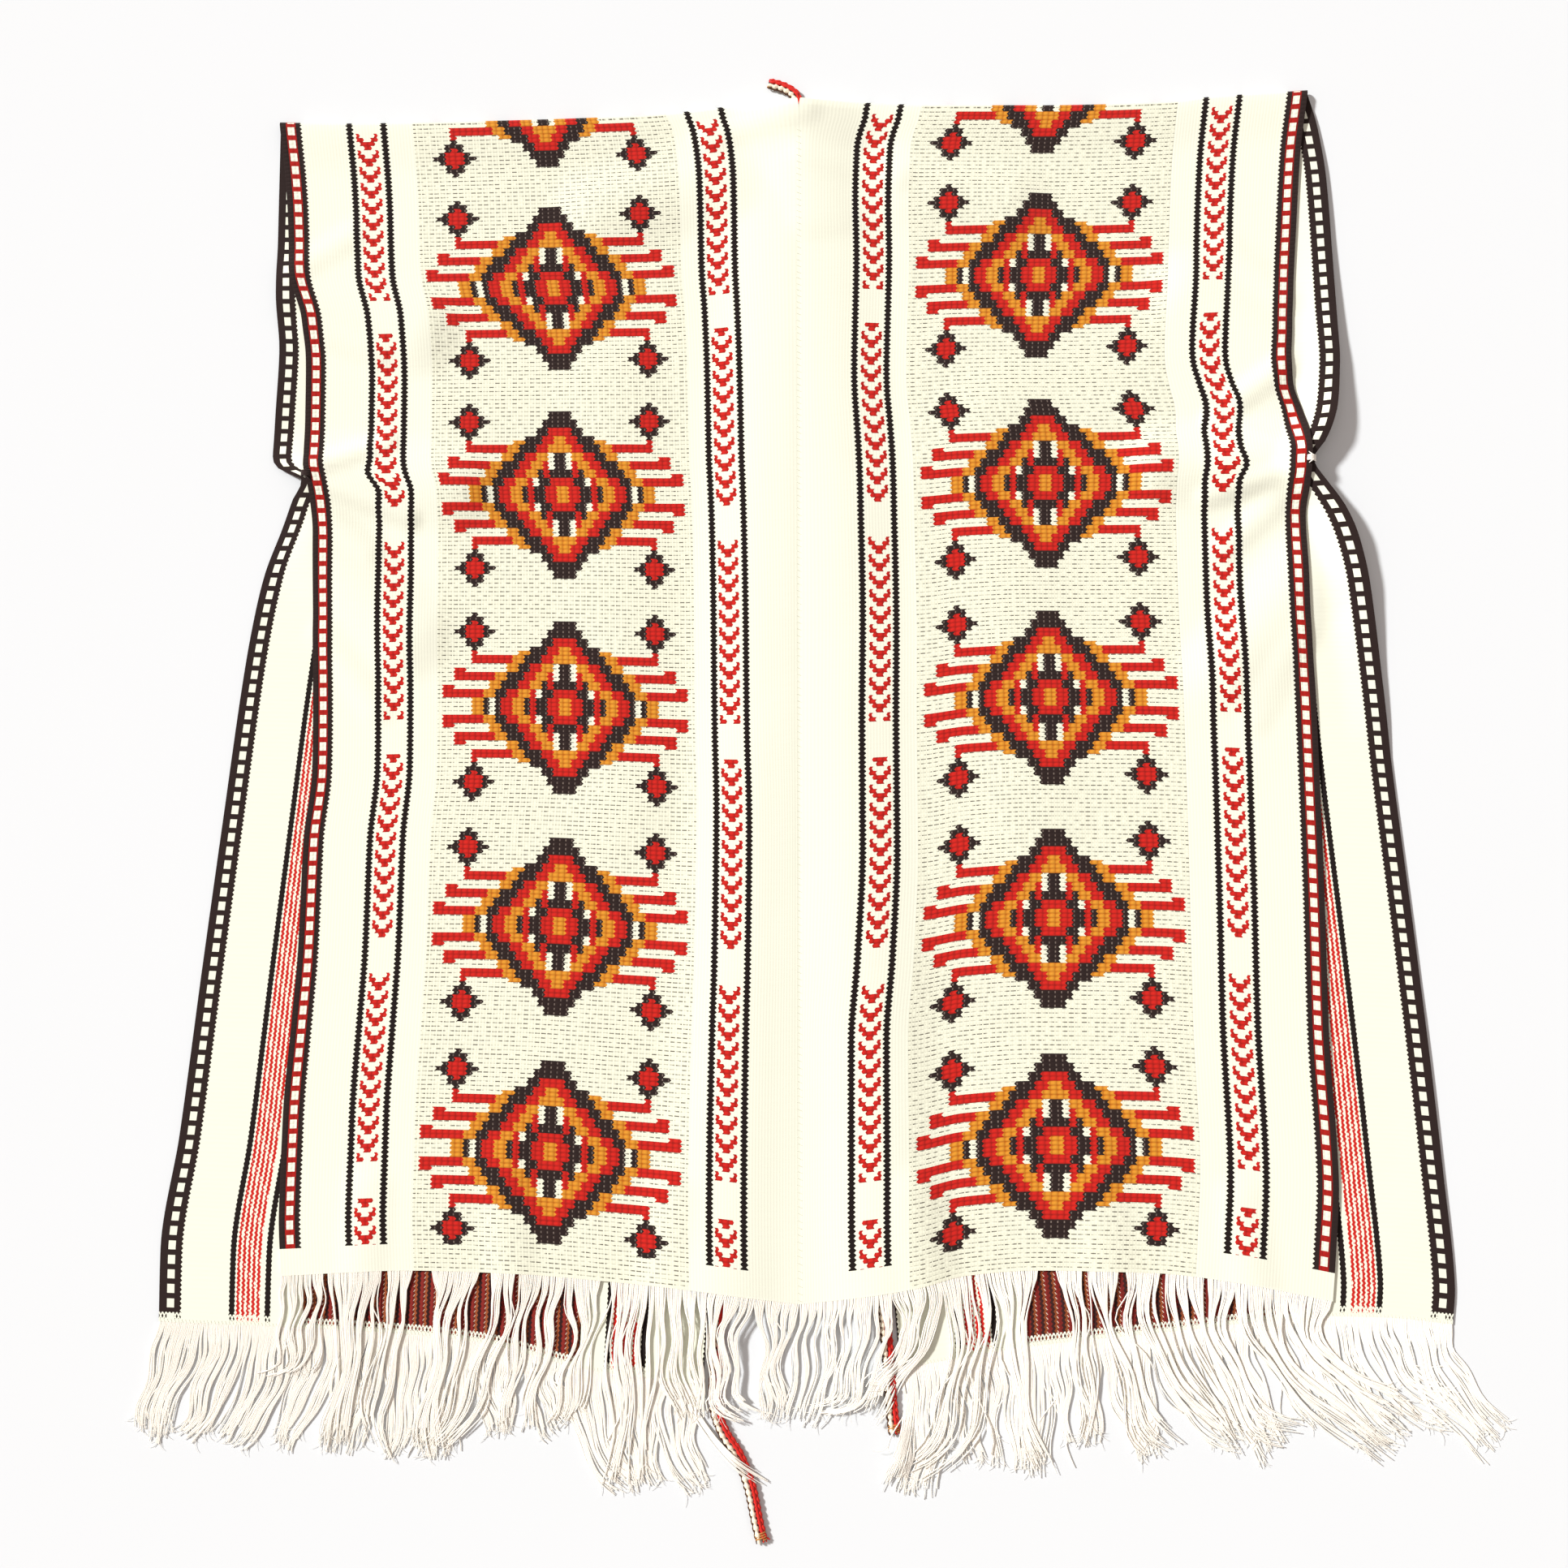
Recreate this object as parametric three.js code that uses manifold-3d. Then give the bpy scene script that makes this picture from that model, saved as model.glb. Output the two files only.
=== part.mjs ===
// A fringed, open-front poncho cape, laid flat with its back uppermost.
// Two long brocade strips run from the front hem over the shoulders to the back hem. They are joined
// down the middle of the back and left open in front, tacked together under each arm, and closed at
// the neck with two braided ties. The cloth lies on the plane Z = 0, with the shoulders towards +Y.
import * as THREE from 'three';
import { mergeVertices } from 'three/addons/utils/BufferGeometryUtils.js';
import Module from 'manifold-3d';

const wasm = await Module();
wasm.setup();

// Driving dimensions, in millimetres.
const CLOTH = 1.8; // thickness of the brocade
const GAP = 0.3; // clearance between neighbouring pieces
const FOLD_RADIUS = 2.4; // radius of the cloth's middle where it turns over the shoulder
const FOLD_REACH = 45; // how far the roll at the shoulder takes to settle flat
const COLUMNS = 17; // wall divisions across a strip
const FOLD_STEPS = 5; // wall divisions round the shoulder roll
const TIE_WIDTH = 9; // a braided tie lying flat, across and through
const TIE_HEIGHT = 4.6;
const TIE_LIFT = 0.2; // clearance under a tie
const TIE_SIDES = 8;
const TIE_STEP = 26; // spacing of the sections along a tie
const TACK_RADIUS = 2.8; // the yarn knot that joins front and back under an arm
const STRIP = 3; // width of the cord that the fringe hangs from
const STRANDS = 4; // strands in one lock of fringe
const STRAND_SEGMENTS = 3;
const STRAND_ROOT_WIDTH = 5;
const STRAND_TIP_WIDTH = 2.2;
const STRAND_HEIGHT = 1.3;
const STRAND_SPREAD = 3.1; // distance between the tips in a lock

// Levels of the cloth's middle.
const FRONT_Z = CLOTH / 2;
const BACK_Z = CLOTH * 1.5 + GAP;
const SEAM_X = 12;

// The outline. An edge's rows are [y, x], and a fold's or hem's rows are [share of the width from
// the arm side, y]. Each strip's front and back leave the same shoulder fold.
const LEFT = {
  fold: [[0, 549], [0.13, 548], [0.27, 549], [0.55, 552], [0.74, 555], [0.91, 563], [1, 568]],
  back: {
    outer: [
      [549, -415], [481, -407], [418, -402], [380, -391], [340, -387], [270, -386], [205, -378],
      [120, -376], [10, -373], [-80, -383], [-210, -386], [-330, -386], [-378, -383],
    ],
    inner: [[568, SEAM_X - 7.5], [545, SEAM_X - GAP / 2], [-399, SEAM_X - GAP / 2]],
    hem: [[0, -378], [0.24, -374], [0.43, -376], [0.65, -383], [0.8, -389], [0.91, -395], [1, -399]],
    rows: [0.03, 0.07, 0.11, 0.15, 0.19, 0.23, 0.27, 0.31, 0.35, 0.39, 0.44, 0.49, 0.54, 0.59, 0.64,
      0.7, 0.76, 0.82, 0.88, 0.94, 1],
  },
  front: {
    outer: [
      [549, -415], [402, -414], [350, -411], [295, -411], [275, -406], [259, -387], [241, -392],
      [202, -403], [168, -415], [121, -424], [75, -430], [-21, -440], [-149, -453], [-273, -465],
      [-359, -476], [-412, -475],
    ],
    inner: [[568, SEAM_X - 7.5], [495, -2.5], [-462, -61.5]],
    hem: [[0, -412], [0.23, -416], [0.45, -421], [0.6, -428], [0.77, -446], [0.95, -457], [1, -462]],
    rows: [0.06, 0.12, 0.18, 0.23, 0.265, 0.284, 0.294, 0.3, 0.307, 0.322, 0.345, 0.38, 0.42, 0.48,
      0.55, 0.63, 0.72, 0.81, 0.9, 1],
  },
};
const RIGHT = {
  fold: [[0, 577], [0.2, 571], [0.27, 567], [0.54, 564], [0.75, 564], [0.89, 566], [1, 568]],
  back: {
    outer: [
      [577, 432], [520, 424], [450, 418], [370, 412], [335, 411], [280, 424], [221, 420], [165, 419],
      [60, 421], [-86, 422], [-211, 424], [-304, 425], [-369, 420], [-397, 417],
    ],
    inner: [[568, SEAM_X + 7.5], [545, SEAM_X + GAP / 2], [-399, SEAM_X + GAP / 2]],
    hem: [[0, -397], [0.18, -383], [0.33, -376], [0.55, -374], [0.68, -378], [0.77, -387], [0.9, -395],
      [1, -399]],
    rows: [0.03, 0.07, 0.11, 0.15, 0.19, 0.23, 0.27, 0.31, 0.35, 0.39, 0.44, 0.49, 0.54, 0.59, 0.64,
      0.7, 0.76, 0.82, 0.88, 0.94, 1],
  },
  front: {
    outer: [
      [577, 432], [546, 439.5], [500, 445], [443, 448], [356, 451], [332, 449], [311, 444], [283, 431],
      [268, 424], [250, 433], [224, 448], [196, 459], [162, 467], [94, 473], [-5, 481], [-149, 494],
      [-304, 506], [-386, 511], [-414, 508],
    ],
    inner: [[568, SEAM_X + 7.5], [495, 27], [-398, 86], [-447, 91]],
    hem: [[0, -414], [0.12, -409], [0.22, -408], [0.5, -419], [0.75, -430], [1, -447]],
    rows: [0.06, 0.12, 0.18, 0.23, 0.265, 0.29, 0.302, 0.309, 0.317, 0.332, 0.355, 0.385, 0.42, 0.48,
      0.55, 0.63, 0.72, 0.81, 0.9, 1],
  },
};

// Soft folds that both layers follow: a ridge from one point to another, its half width and height.
const FOLDS = [
  { from: [-384, 262], to: [-265, 246], half: 42, height: 5 }, // pull of the left tack
  { from: [-396, 405], to: [-300, 372], half: 46, height: 5 }, // left armhole buckle
  { from: [-374, 190], to: [-300, 120], half: 44, height: 4 }, // left side below the tack
  { from: [418, 270], to: [305, 262], half: 42, height: 6 }, // pull of the right tack
  { from: [410, 350], to: [330, 400], half: 46, height: 5 }, // right armhole buckle
  { from: [416, 165], to: [350, 90], half: 44, height: 4 }, // right side below the tack
  { from: [-60, 500], to: [-150, 470], half: 48, height: 4 }, // drag below the left of the neck
  { from: [100, 495], to: [180, 475], half: 48, height: 4 }, // drag below the right of the neck
];

// The ties lie in the open front, under the back. Rows are [x, y] from the neck to the loose end.
const LEFT_TIE = [
  [2.4, 492], [1, 460], [-4, 380], [-14, 200], [-26, 0], [-38, -200], [-48, -380], [-51.5, -445],
  [-52, -475], [-45.5, -493], [-38, -510], [-31, -532], [-24, -555], [-19, -573],
];
const RIGHT_TIE = [
  [-13, 584], [0, 580], [9, 573.5], [12, 562], [12.5, 540], [17, 510], [22, 480], [28, 380], [40, 200],
  [53, 0], [64, -200], [74, -380], [79, -440], [80.5, -465], [83, -490], [84, -500],
];
// The back rises over the ties.
const TIE_HUMPS = [
  { from: [10, 575], to: [24, 470], half: 62, height: 5.4 },
  { from: [2, 480], to: [-48, -380], half: 62, height: 3.8 },
  { from: [24, 470], to: [74, -380], half: 62, height: 3.8 },
  { from: [-48, -380], to: [-52, -475], half: 62, height: 3.8 },
  { from: [-52, -475], to: [-31, -532], half: 62, height: 3.8 },
  { from: [74, -380], to: [84, -505], half: 62, height: 3.8 },
];

const TACKS = {
  side_tack_left: [-390.9, 258.5],
  side_tack_right: [427.5, 268],
};

// The locks of fringe along each hem, from the arm side: the tip of each lock. Roots share the hem.
const LOCKS = {
  fringe_back_left: [
    [-372, -456], [-345, -505], [-322, -500], [-274, -511], [-249, -508], [-204, -490], [-165, -490],
    [-114, -530], [-74, -482], [-44, -486], [-12, -484],
  ],
  fringe_back_right: [
    [481, -476], [458, -502], [374, -503], [348, -500], [278, -508], [231, -500], [180, -520],
    [112, -530], [73, -478], [44, -486], [20, -489],
  ],
  fringe_front_left: [
    [-483, -496], [-445, -501], [-413, -504], [-381, -501], [-333, -508], [-284, -511], [-258, -512],
    [-207, -492], [-166, -490], [-122, -537], [-100, -532], [-62, -534],
  ],
  fringe_front_right: [
    [541, -497], [506, -485], [464, -503], [410, -482], [374, -505], [346, -503], [279, -512],
    [226, -503], [181, -524], [145, -514], [103, -538],
  ],
};

const mix = (a, b, t) => a + (b - a) * t;

// A smooth curve through a table's rows that never overshoots them.
function along(table, at) {
  const falling = table[0][0] > table[table.length - 1][0];
  const rows = falling ? [...table].reverse() : table;
  const x = THREE.MathUtils.clamp(at, rows[0][0], rows[rows.length - 1][0]);
  let k = 0;
  while (k < rows.length - 2 && x > rows[k + 1][0]) k += 1;
  const slope = (i) => (rows[i + 1][1] - rows[i][1]) / (rows[i + 1][0] - rows[i][0]);
  const tangent = (i) => {
    if (i === 0) return slope(0);
    if (i === rows.length - 1) return slope(i - 1);
    const before = slope(i - 1);
    const after = slope(i);
    return before * after > 0 ? (2 * before * after) / (before + after) : 0;
  };
  const span = rows[k + 1][0] - rows[k][0];
  const u = (x - rows[k][0]) / span;
  const start = (1 + 2 * u) * (1 - u) ** 2 * rows[k][1] + u * (1 - u) ** 2 * span * tangent(k);
  const end = u * u * (3 - 2 * u) * rows[k + 1][1] - u * u * (1 - u) * span * tangent(k + 1);
  return start + end;
}

// A soft ridge's height at a point of the plan.
function ridge(x, y, { from, to, half, height }) {
  const run = [to[0] - from[0], to[1] - from[1]];
  const share = ((x - from[0]) * run[0] + (y - from[1]) * run[1]) / (run[0] ** 2 + run[1] ** 2);
  const t = THREE.MathUtils.clamp(share, 0, 1);
  const off = Math.hypot(x - from[0] - t * run[0], y - from[1] - t * run[1]) / half;
  return off < 1 ? height * (1 - off * off) ** 2 : 0;
}

const foldLift = (x, y) => FOLDS.reduce((sum, fold) => sum + ridge(x, y, fold), 0);
const tieLift = (x, y) => Math.max(...TIE_HUMPS.map((hump) => ridge(x, y, hump)));

// The place in plan of a point of a layer: s from the arm side to the neck side, t from fold to hem.
function plan(side, layer, s, t) {
  const sag = FOLD_RADIUS + CLOTH / 2; // the flat layer starts this far below the fold's crest
  const top = (share) => along(side.fold, share) - sag;
  const bottom = (share) => along(layer.hem, share);
  const outerY = mix(top(0), bottom(0), t);
  const innerY = mix(top(1), bottom(1), t);
  const foldBow = top(s) - mix(top(0), top(1), s);
  const hemBow = bottom(s) - mix(bottom(0), bottom(1), s);
  return {
    x: mix(along(layer.outer, outerY), along(layer.inner, innerY), s),
    y: mix(outerY, innerY, s) + (1 - t) * foldBow + t * hemBow,
    fromFold: t * (top(s) - bottom(s)),
  };
}

// The level of a layer's middle, and the roll's share of it near the shoulder.
function level(side, layer, spot) {
  const lift = foldLift(spot.x, spot.y);
  if (layer === side.front) return FRONT_Z + lift;
  const roll = FRONT_Z + 2 * FOLD_RADIUS - BACK_Z;
  const near = Math.max(0, 1 - spot.fromFold / FOLD_REACH);
  return BACK_Z + lift + roll * near * near * (3 - 2 * near) + tieLift(spot.x, spot.y);
}

// One strip's middle line at a share of its width, from front hem over the shoulder to back hem.
// Each point carries the direction to the strip's face, which is outside all the way round.
function middleLine(side, s) {
  const flat = (layer, t, facing) => {
    const spot = plan(side, layer, s, t);
    return { x: spot.x, y: spot.y, z: level(side, layer, spot), out: [0, facing] };
  };
  const line = [...side.front.rows].reverse().map((t) => flat(side.front, t, -1));
  const start = plan(side, side.front, s, 0);
  const lift = foldLift(start.x, start.y);
  const rise = tieLift(start.x, start.y);
  const radius = FOLD_RADIUS + rise / 2;
  for (let k = 0; k <= FOLD_STEPS; k += 1) {
    const angle = (Math.PI * k) / FOLD_STEPS;
    line.push({
      x: start.x,
      y: start.y + FOLD_RADIUS * Math.sin(angle),
      z: FRONT_Z + lift + radius * (1 - Math.cos(angle)),
      out: [Math.sin(angle), -Math.cos(angle)],
    });
  }
  side.back.rows.forEach((t) => line.push(flat(side.back, t, 1)));
  return line;
}

// A closed wall from rows of points of its outer and inner faces.
function wall(outer, inner) {
  const across = outer.length;
  const down = outer[0].length;
  const positions = [...outer.flat(), ...inner.flat()].flat();
  const index = [];
  const out = (i, j) => i * down + j;
  const inn = (i, j) => across * down + i * down + j;
  const quad = (a, b, c, d) => index.push(a, b, c, a, c, d);
  for (let i = 0; i < across - 1; i += 1) {
    for (let j = 0; j < down - 1; j += 1) {
      quad(out(i, j), out(i, j + 1), out(i + 1, j + 1), out(i + 1, j));
      quad(inn(i, j), inn(i + 1, j), inn(i + 1, j + 1), inn(i, j + 1));
    }
    quad(out(i, 0), out(i + 1, 0), inn(i + 1, 0), inn(i, 0));
    quad(out(i, down - 1), inn(i, down - 1), inn(i + 1, down - 1), out(i + 1, down - 1));
  }
  for (let j = 0; j < down - 1; j += 1) {
    quad(out(0, j), inn(0, j), inn(0, j + 1), out(0, j + 1));
    quad(out(across - 1, j), out(across - 1, j + 1), inn(across - 1, j + 1), inn(across - 1, j));
  }
  const geometry = new THREE.BufferGeometry();
  geometry.setAttribute('position', new THREE.Float32BufferAttribute(positions, 3));
  geometry.setIndex(index);
  return geometry;
}

function stripGeometry(side, turned) {
  const outer = [];
  const inner = [];
  for (let i = 0; i <= COLUMNS; i += 1) {
    const s = turned ? 1 - i / COLUMNS : i / COLUMNS;
    const line = middleLine(side, s);
    const face = (p, half) => [p.x, p.y + half * p.out[0], p.z + half * p.out[1]];
    outer.push(line.map((p) => face(p, CLOTH / 2)));
    inner.push(line.map((p) => face(p, -CLOTH / 2)));
  }
  return wall(outer, inner);
}

// A tube of flat braid along a route on the floor.
function tieGeometry(route) {
  const centre = TIE_LIFT + TIE_HEIGHT / 2;
  const curve = new THREE.CatmullRomCurve3(
    route.map(([x, y]) => new THREE.Vector3(x, y, centre)), false, 'centripetal');
  const section = new THREE.Shape();
  for (let k = 0; k < TIE_SIDES; k += 1) {
    const angle = (2 * Math.PI * (k + 0.5)) / TIE_SIDES;
    const wide = (TIE_WIDTH / 2) * Math.cos(angle);
    const high = (TIE_HEIGHT / 2) * Math.sin(angle) / Math.sin(Math.PI * 0.375);
    if (k === 0) section.moveTo(high, wide);
    else section.lineTo(high, wide);
  }
  section.closePath();
  const steps = Math.round(curve.getLength() / TIE_STEP);
  return new THREE.ExtrudeGeometry(section, { steps, extrudePath: curve, bevelEnabled: false });
}

function solid(geometry) {
  const bare = geometry.clone();
  bare.deleteAttribute('normal');
  bare.deleteAttribute('uv');
  const merged = mergeVertices(bare, 1e-4);
  return new wasm.Manifold(new wasm.Mesh({
    numProp: 3,
    vertProperties: new Float32Array(merged.attributes.position.array),
    triVerts: new Uint32Array(merged.index.array),
  }));
}

function geometryOf(manifold) {
  const mesh = manifold.getMesh();
  const geometry = new THREE.BufferGeometry();
  geometry.setAttribute('position', new THREE.Float32BufferAttribute(mesh.vertProperties, 3));
  geometry.setIndex(Array.from(mesh.triVerts));
  return geometry;
}

// A point of the hem, the way out from it in plan, and the cloth's middle there.
function hemPoint(side, layer, s) {
  const step = 0.002;
  const here = plan(side, layer, s, 1);
  const a = plan(side, layer, Math.max(0, s - step), 1);
  const b = plan(side, layer, Math.min(1, s + step), 1);
  const tangent = new THREE.Vector2(b.x - a.x, b.y - a.y).normalize();
  const normal = new THREE.Vector2(tangent.y, -tangent.x);
  if (normal.y > 0) normal.negate();
  return { ...here, normal, z: level(side, layer, here) };
}

// The cord along the hem that the fringe is rooted in.
function hemStrip(side, layer) {
  const corners = [];
  for (let i = 0; i <= COLUMNS; i += 1) {
    const hem = hemPoint(side, layer, i / COLUMNS);
    const at = (reach, z) => [hem.x + reach * hem.normal.x, hem.y + reach * hem.normal.y, z];
    const low = hem.z - CLOTH / 2;
    const high = hem.z + CLOTH / 2;
    corners.push([at(GAP, low), at(GAP + STRIP, low), at(GAP + STRIP, high), at(GAP, high)]);
  }
  const index = [];
  const id = (i, k) => i * 4 + (k % 4);
  for (let i = 0; i < COLUMNS; i += 1) {
    for (let k = 0; k < 4; k += 1) {
      index.push(id(i, k), id(i, k + 1), id(i + 1, k + 1), id(i, k), id(i + 1, k + 1), id(i + 1, k));
    }
  }
  index.push(id(0, 0), id(0, 2), id(0, 1), id(0, 0), id(0, 3), id(0, 2));
  index.push(id(COLUMNS, 0), id(COLUMNS, 1), id(COLUMNS, 2));
  index.push(id(COLUMNS, 0), id(COLUMNS, 2), id(COLUMNS, 3));
  return oriented(corners.flat(), index);
}

// A closed geometry whose faces are turned to point out.
function oriented(points, index) {
  let volume = 0;
  for (let k = 0; k < index.length; k += 3) {
    const [a, b, c] = [0, 1, 2].map((n) => new THREE.Vector3(...points[index[k + n]]));
    volume += a.dot(b.cross(c));
  }
  const turned = [...index];
  if (volume < 0) {
    for (let k = 0; k < index.length; k += 3) {
      [turned[k + 1], turned[k + 2]] = [index[k + 2], index[k + 1]];
    }
  }
  const geometry = new THREE.BufferGeometry();
  geometry.setAttribute('position', new THREE.Float32BufferAttribute(points.flat(), 3));
  geometry.setIndex(turned);
  return geometry;
}

// One strand: a three-sided yarn that leaves the hem squarely and bends to its tip.
function strandGeometry(side, layer, hem, tip) {
  const inset = GAP + STRIP / 2;
  const root = new THREE.Vector2(hem.x + inset * hem.normal.x, hem.y + inset * hem.normal.y);
  const end = new THREE.Vector2(...tip);
  const bend = root.clone().addScaledVector(hem.normal, 0.45 * root.distanceTo(end));
  const curve = new THREE.QuadraticBezierCurve(root, bend, end);
  const points = [];
  for (let k = 0; k <= STRAND_SEGMENTS; k += 1) {
    const t = k / STRAND_SEGMENTS;
    const centre = curve.getPoint(t);
    const way = curve.getTangent(t);
    const spot = { x: centre.x, y: centre.y, fromFold: FOLD_REACH };
    const low = level(side, layer, spot) - STRAND_HEIGHT / 2;
    const half = mix(STRAND_ROOT_WIDTH, STRAND_TIP_WIDTH, t) / 2;
    points.push([centre.x - half * way.y, centre.y + half * way.x, low]);
    points.push([centre.x + half * way.y, centre.y - half * way.x, low]);
    points.push([centre.x, centre.y, low + STRAND_HEIGHT]);
  }
  const index = [];
  const id = (k, n) => k * 3 + (n % 3);
  for (let k = 0; k < STRAND_SEGMENTS; k += 1) {
    for (let n = 0; n < 3; n += 1) {
      index.push(id(k, n), id(k, n + 1), id(k + 1, n + 1), id(k, n), id(k + 1, n + 1), id(k + 1, n));
    }
  }
  index.push(0, 2, 1, id(STRAND_SEGMENTS, 0), id(STRAND_SEGMENTS, 1), id(STRAND_SEGMENTS, 2));
  return oriented(points, index);
}

function fringeGeometry(side, layer, tips) {
  const parts = [solid(hemStrip(side, layer))];
  tips.forEach((tip, lock) => {
    for (let k = 0; k < STRANDS; k += 1) {
      const s = (lock + (k + 0.5) / STRANDS) / tips.length;
      const hem = hemPoint(side, layer, s);
      const towardsNeck = side === LEFT ? 1 : -1;
      const spread = (k - (STRANDS - 1) / 2) * STRAND_SPREAD * towardsNeck;
      parts.push(solid(strandGeometry(side, layer, hem, [tip[0] + spread, tip[1] - (k % 2) * 3])));
    }
  });
  return geometryOf(wasm.Manifold.union(parts));
}

// Colours and finishes.
const IVORY = new THREE.MeshStandardMaterial({ color: 0xf3efdf, roughness: 0.92, metalness: 0 });
const FRINGE_WHITE = new THREE.MeshStandardMaterial({ color: 0xefeadd, roughness: 0.85, metalness: 0 });
const BRAID_RED = new THREE.MeshStandardMaterial({ color: 0xa8281c, roughness: 0.85, metalness: 0 });

function piece(name, geometry, material) {
  geometry.computeVertexNormals();
  const mesh = new THREE.Mesh(geometry, material);
  mesh.name = name;
  return mesh;
}

function tack(name, [x, y]) {
  const knot = piece(name, new THREE.SphereGeometry(TACK_RADIUS, 10, 8), FRINGE_WHITE);
  knot.position.set(x, y, (FRONT_Z + BACK_Z) / 2 + foldLift(x, y));
  return knot;
}

const cloth = [
  piece('left_strip', stripGeometry(LEFT, false), IVORY),
  piece('right_strip', stripGeometry(RIGHT, true), IVORY),
  piece('fringe_back_left', fringeGeometry(LEFT, LEFT.back, LOCKS.fringe_back_left), FRINGE_WHITE),
  piece('fringe_back_right', fringeGeometry(RIGHT, RIGHT.back, LOCKS.fringe_back_right), FRINGE_WHITE),
  piece('fringe_front_left', fringeGeometry(LEFT, LEFT.front, LOCKS.fringe_front_left), FRINGE_WHITE),
  piece('fringe_front_right', fringeGeometry(RIGHT, RIGHT.front, LOCKS.fringe_front_right), FRINGE_WHITE),
  ...Object.entries(TACKS).map(([name, place]) => tack(name, place)),
];
const ties = [
  piece('tie_left', tieGeometry(LEFT_TIE), BRAID_RED),
  piece('tie_right', tieGeometry(RIGHT_TIE), BRAID_RED),
];

// The origin is on the floor, under the middle of the cape without its ties.
const cape = new THREE.Group();
cape.add(...cloth);
const box = new THREE.Box3().setFromObject(cape, true);
const middle = box.getCenter(new THREE.Vector3());
cape.add(...ties);
cape.position.set(-middle.x, -middle.y, 0);

const model = new THREE.Group();
model.add(cape);
model.updateMatrixWorld(true);

export default model;
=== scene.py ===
"""A fringed, open-front poncho cape, laid flat with its back uppermost.

Two long brocade strips run from the front hem over the shoulders to the back hem. They are joined
down the middle of the back and open in front, tacked together under each arm, and closed at the
neck with two braided ties that lie in the open front.
"""

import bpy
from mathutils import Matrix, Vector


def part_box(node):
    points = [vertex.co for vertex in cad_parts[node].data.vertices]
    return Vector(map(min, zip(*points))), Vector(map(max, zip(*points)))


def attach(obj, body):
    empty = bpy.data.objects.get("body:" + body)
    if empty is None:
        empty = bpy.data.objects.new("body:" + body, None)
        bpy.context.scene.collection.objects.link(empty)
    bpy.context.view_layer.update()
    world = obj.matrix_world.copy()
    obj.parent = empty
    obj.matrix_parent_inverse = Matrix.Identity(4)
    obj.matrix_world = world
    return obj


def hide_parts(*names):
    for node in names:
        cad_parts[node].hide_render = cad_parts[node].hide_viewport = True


bl_info = {
    "name": "Poncho Cape",
    "version": (1, 0, 0),
    "blender": (4, 5, 0),
    "location": "3D View > Sidebar > Cape",
    "description": "Makes a brocade poncho cape with fringed hems and braided ties",
    "category": "Add Mesh",
}

import math
import random

import bmesh
import bpy
from bpy.props import FloatProperty, FloatVectorProperty, IntProperty, PointerProperty
from mathutils import Vector, noise

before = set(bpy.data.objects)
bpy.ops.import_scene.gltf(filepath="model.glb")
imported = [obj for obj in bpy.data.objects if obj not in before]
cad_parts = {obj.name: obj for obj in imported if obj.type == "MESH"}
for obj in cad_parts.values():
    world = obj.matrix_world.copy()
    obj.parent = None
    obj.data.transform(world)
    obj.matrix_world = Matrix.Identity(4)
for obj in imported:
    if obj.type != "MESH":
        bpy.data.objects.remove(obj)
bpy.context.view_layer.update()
MM = 0.001

# Sizes of the cape, in millimetres, as its solids have them.
CLOTH = 1.8
GAP = 0.3
FOLD_RADIUS = 2.4
FOLD_REACH = 45
FOLD_STEPS = 8
FRONT_Z = CLOTH / 2
BACK_Z = CLOTH * 1.5 + GAP
SEAM_X = 12
SEAM_GAP = 0.02
NECK_GAP = 1.5
FRONT_GAP = 7.5
TACK_SOLID = (-390.9, 258.5)
TACKS = {"side_tack_left": (-386, 249), "side_tack_right": (424.5, 260)}

# Where the weave strays from an even spread, as shares of a strip's width from its arm side.
LEAN_FROM = 0.35
LEAN_GROWS = 0.47
LEAN_ENDS = 0.1
SWAY_AT = 0.165
SWAY_REACH = 0.13
KINK_AT = 0.134
KINK_REACH = 0.045
KINK_LENGTH = 14  # in millimetres

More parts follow.
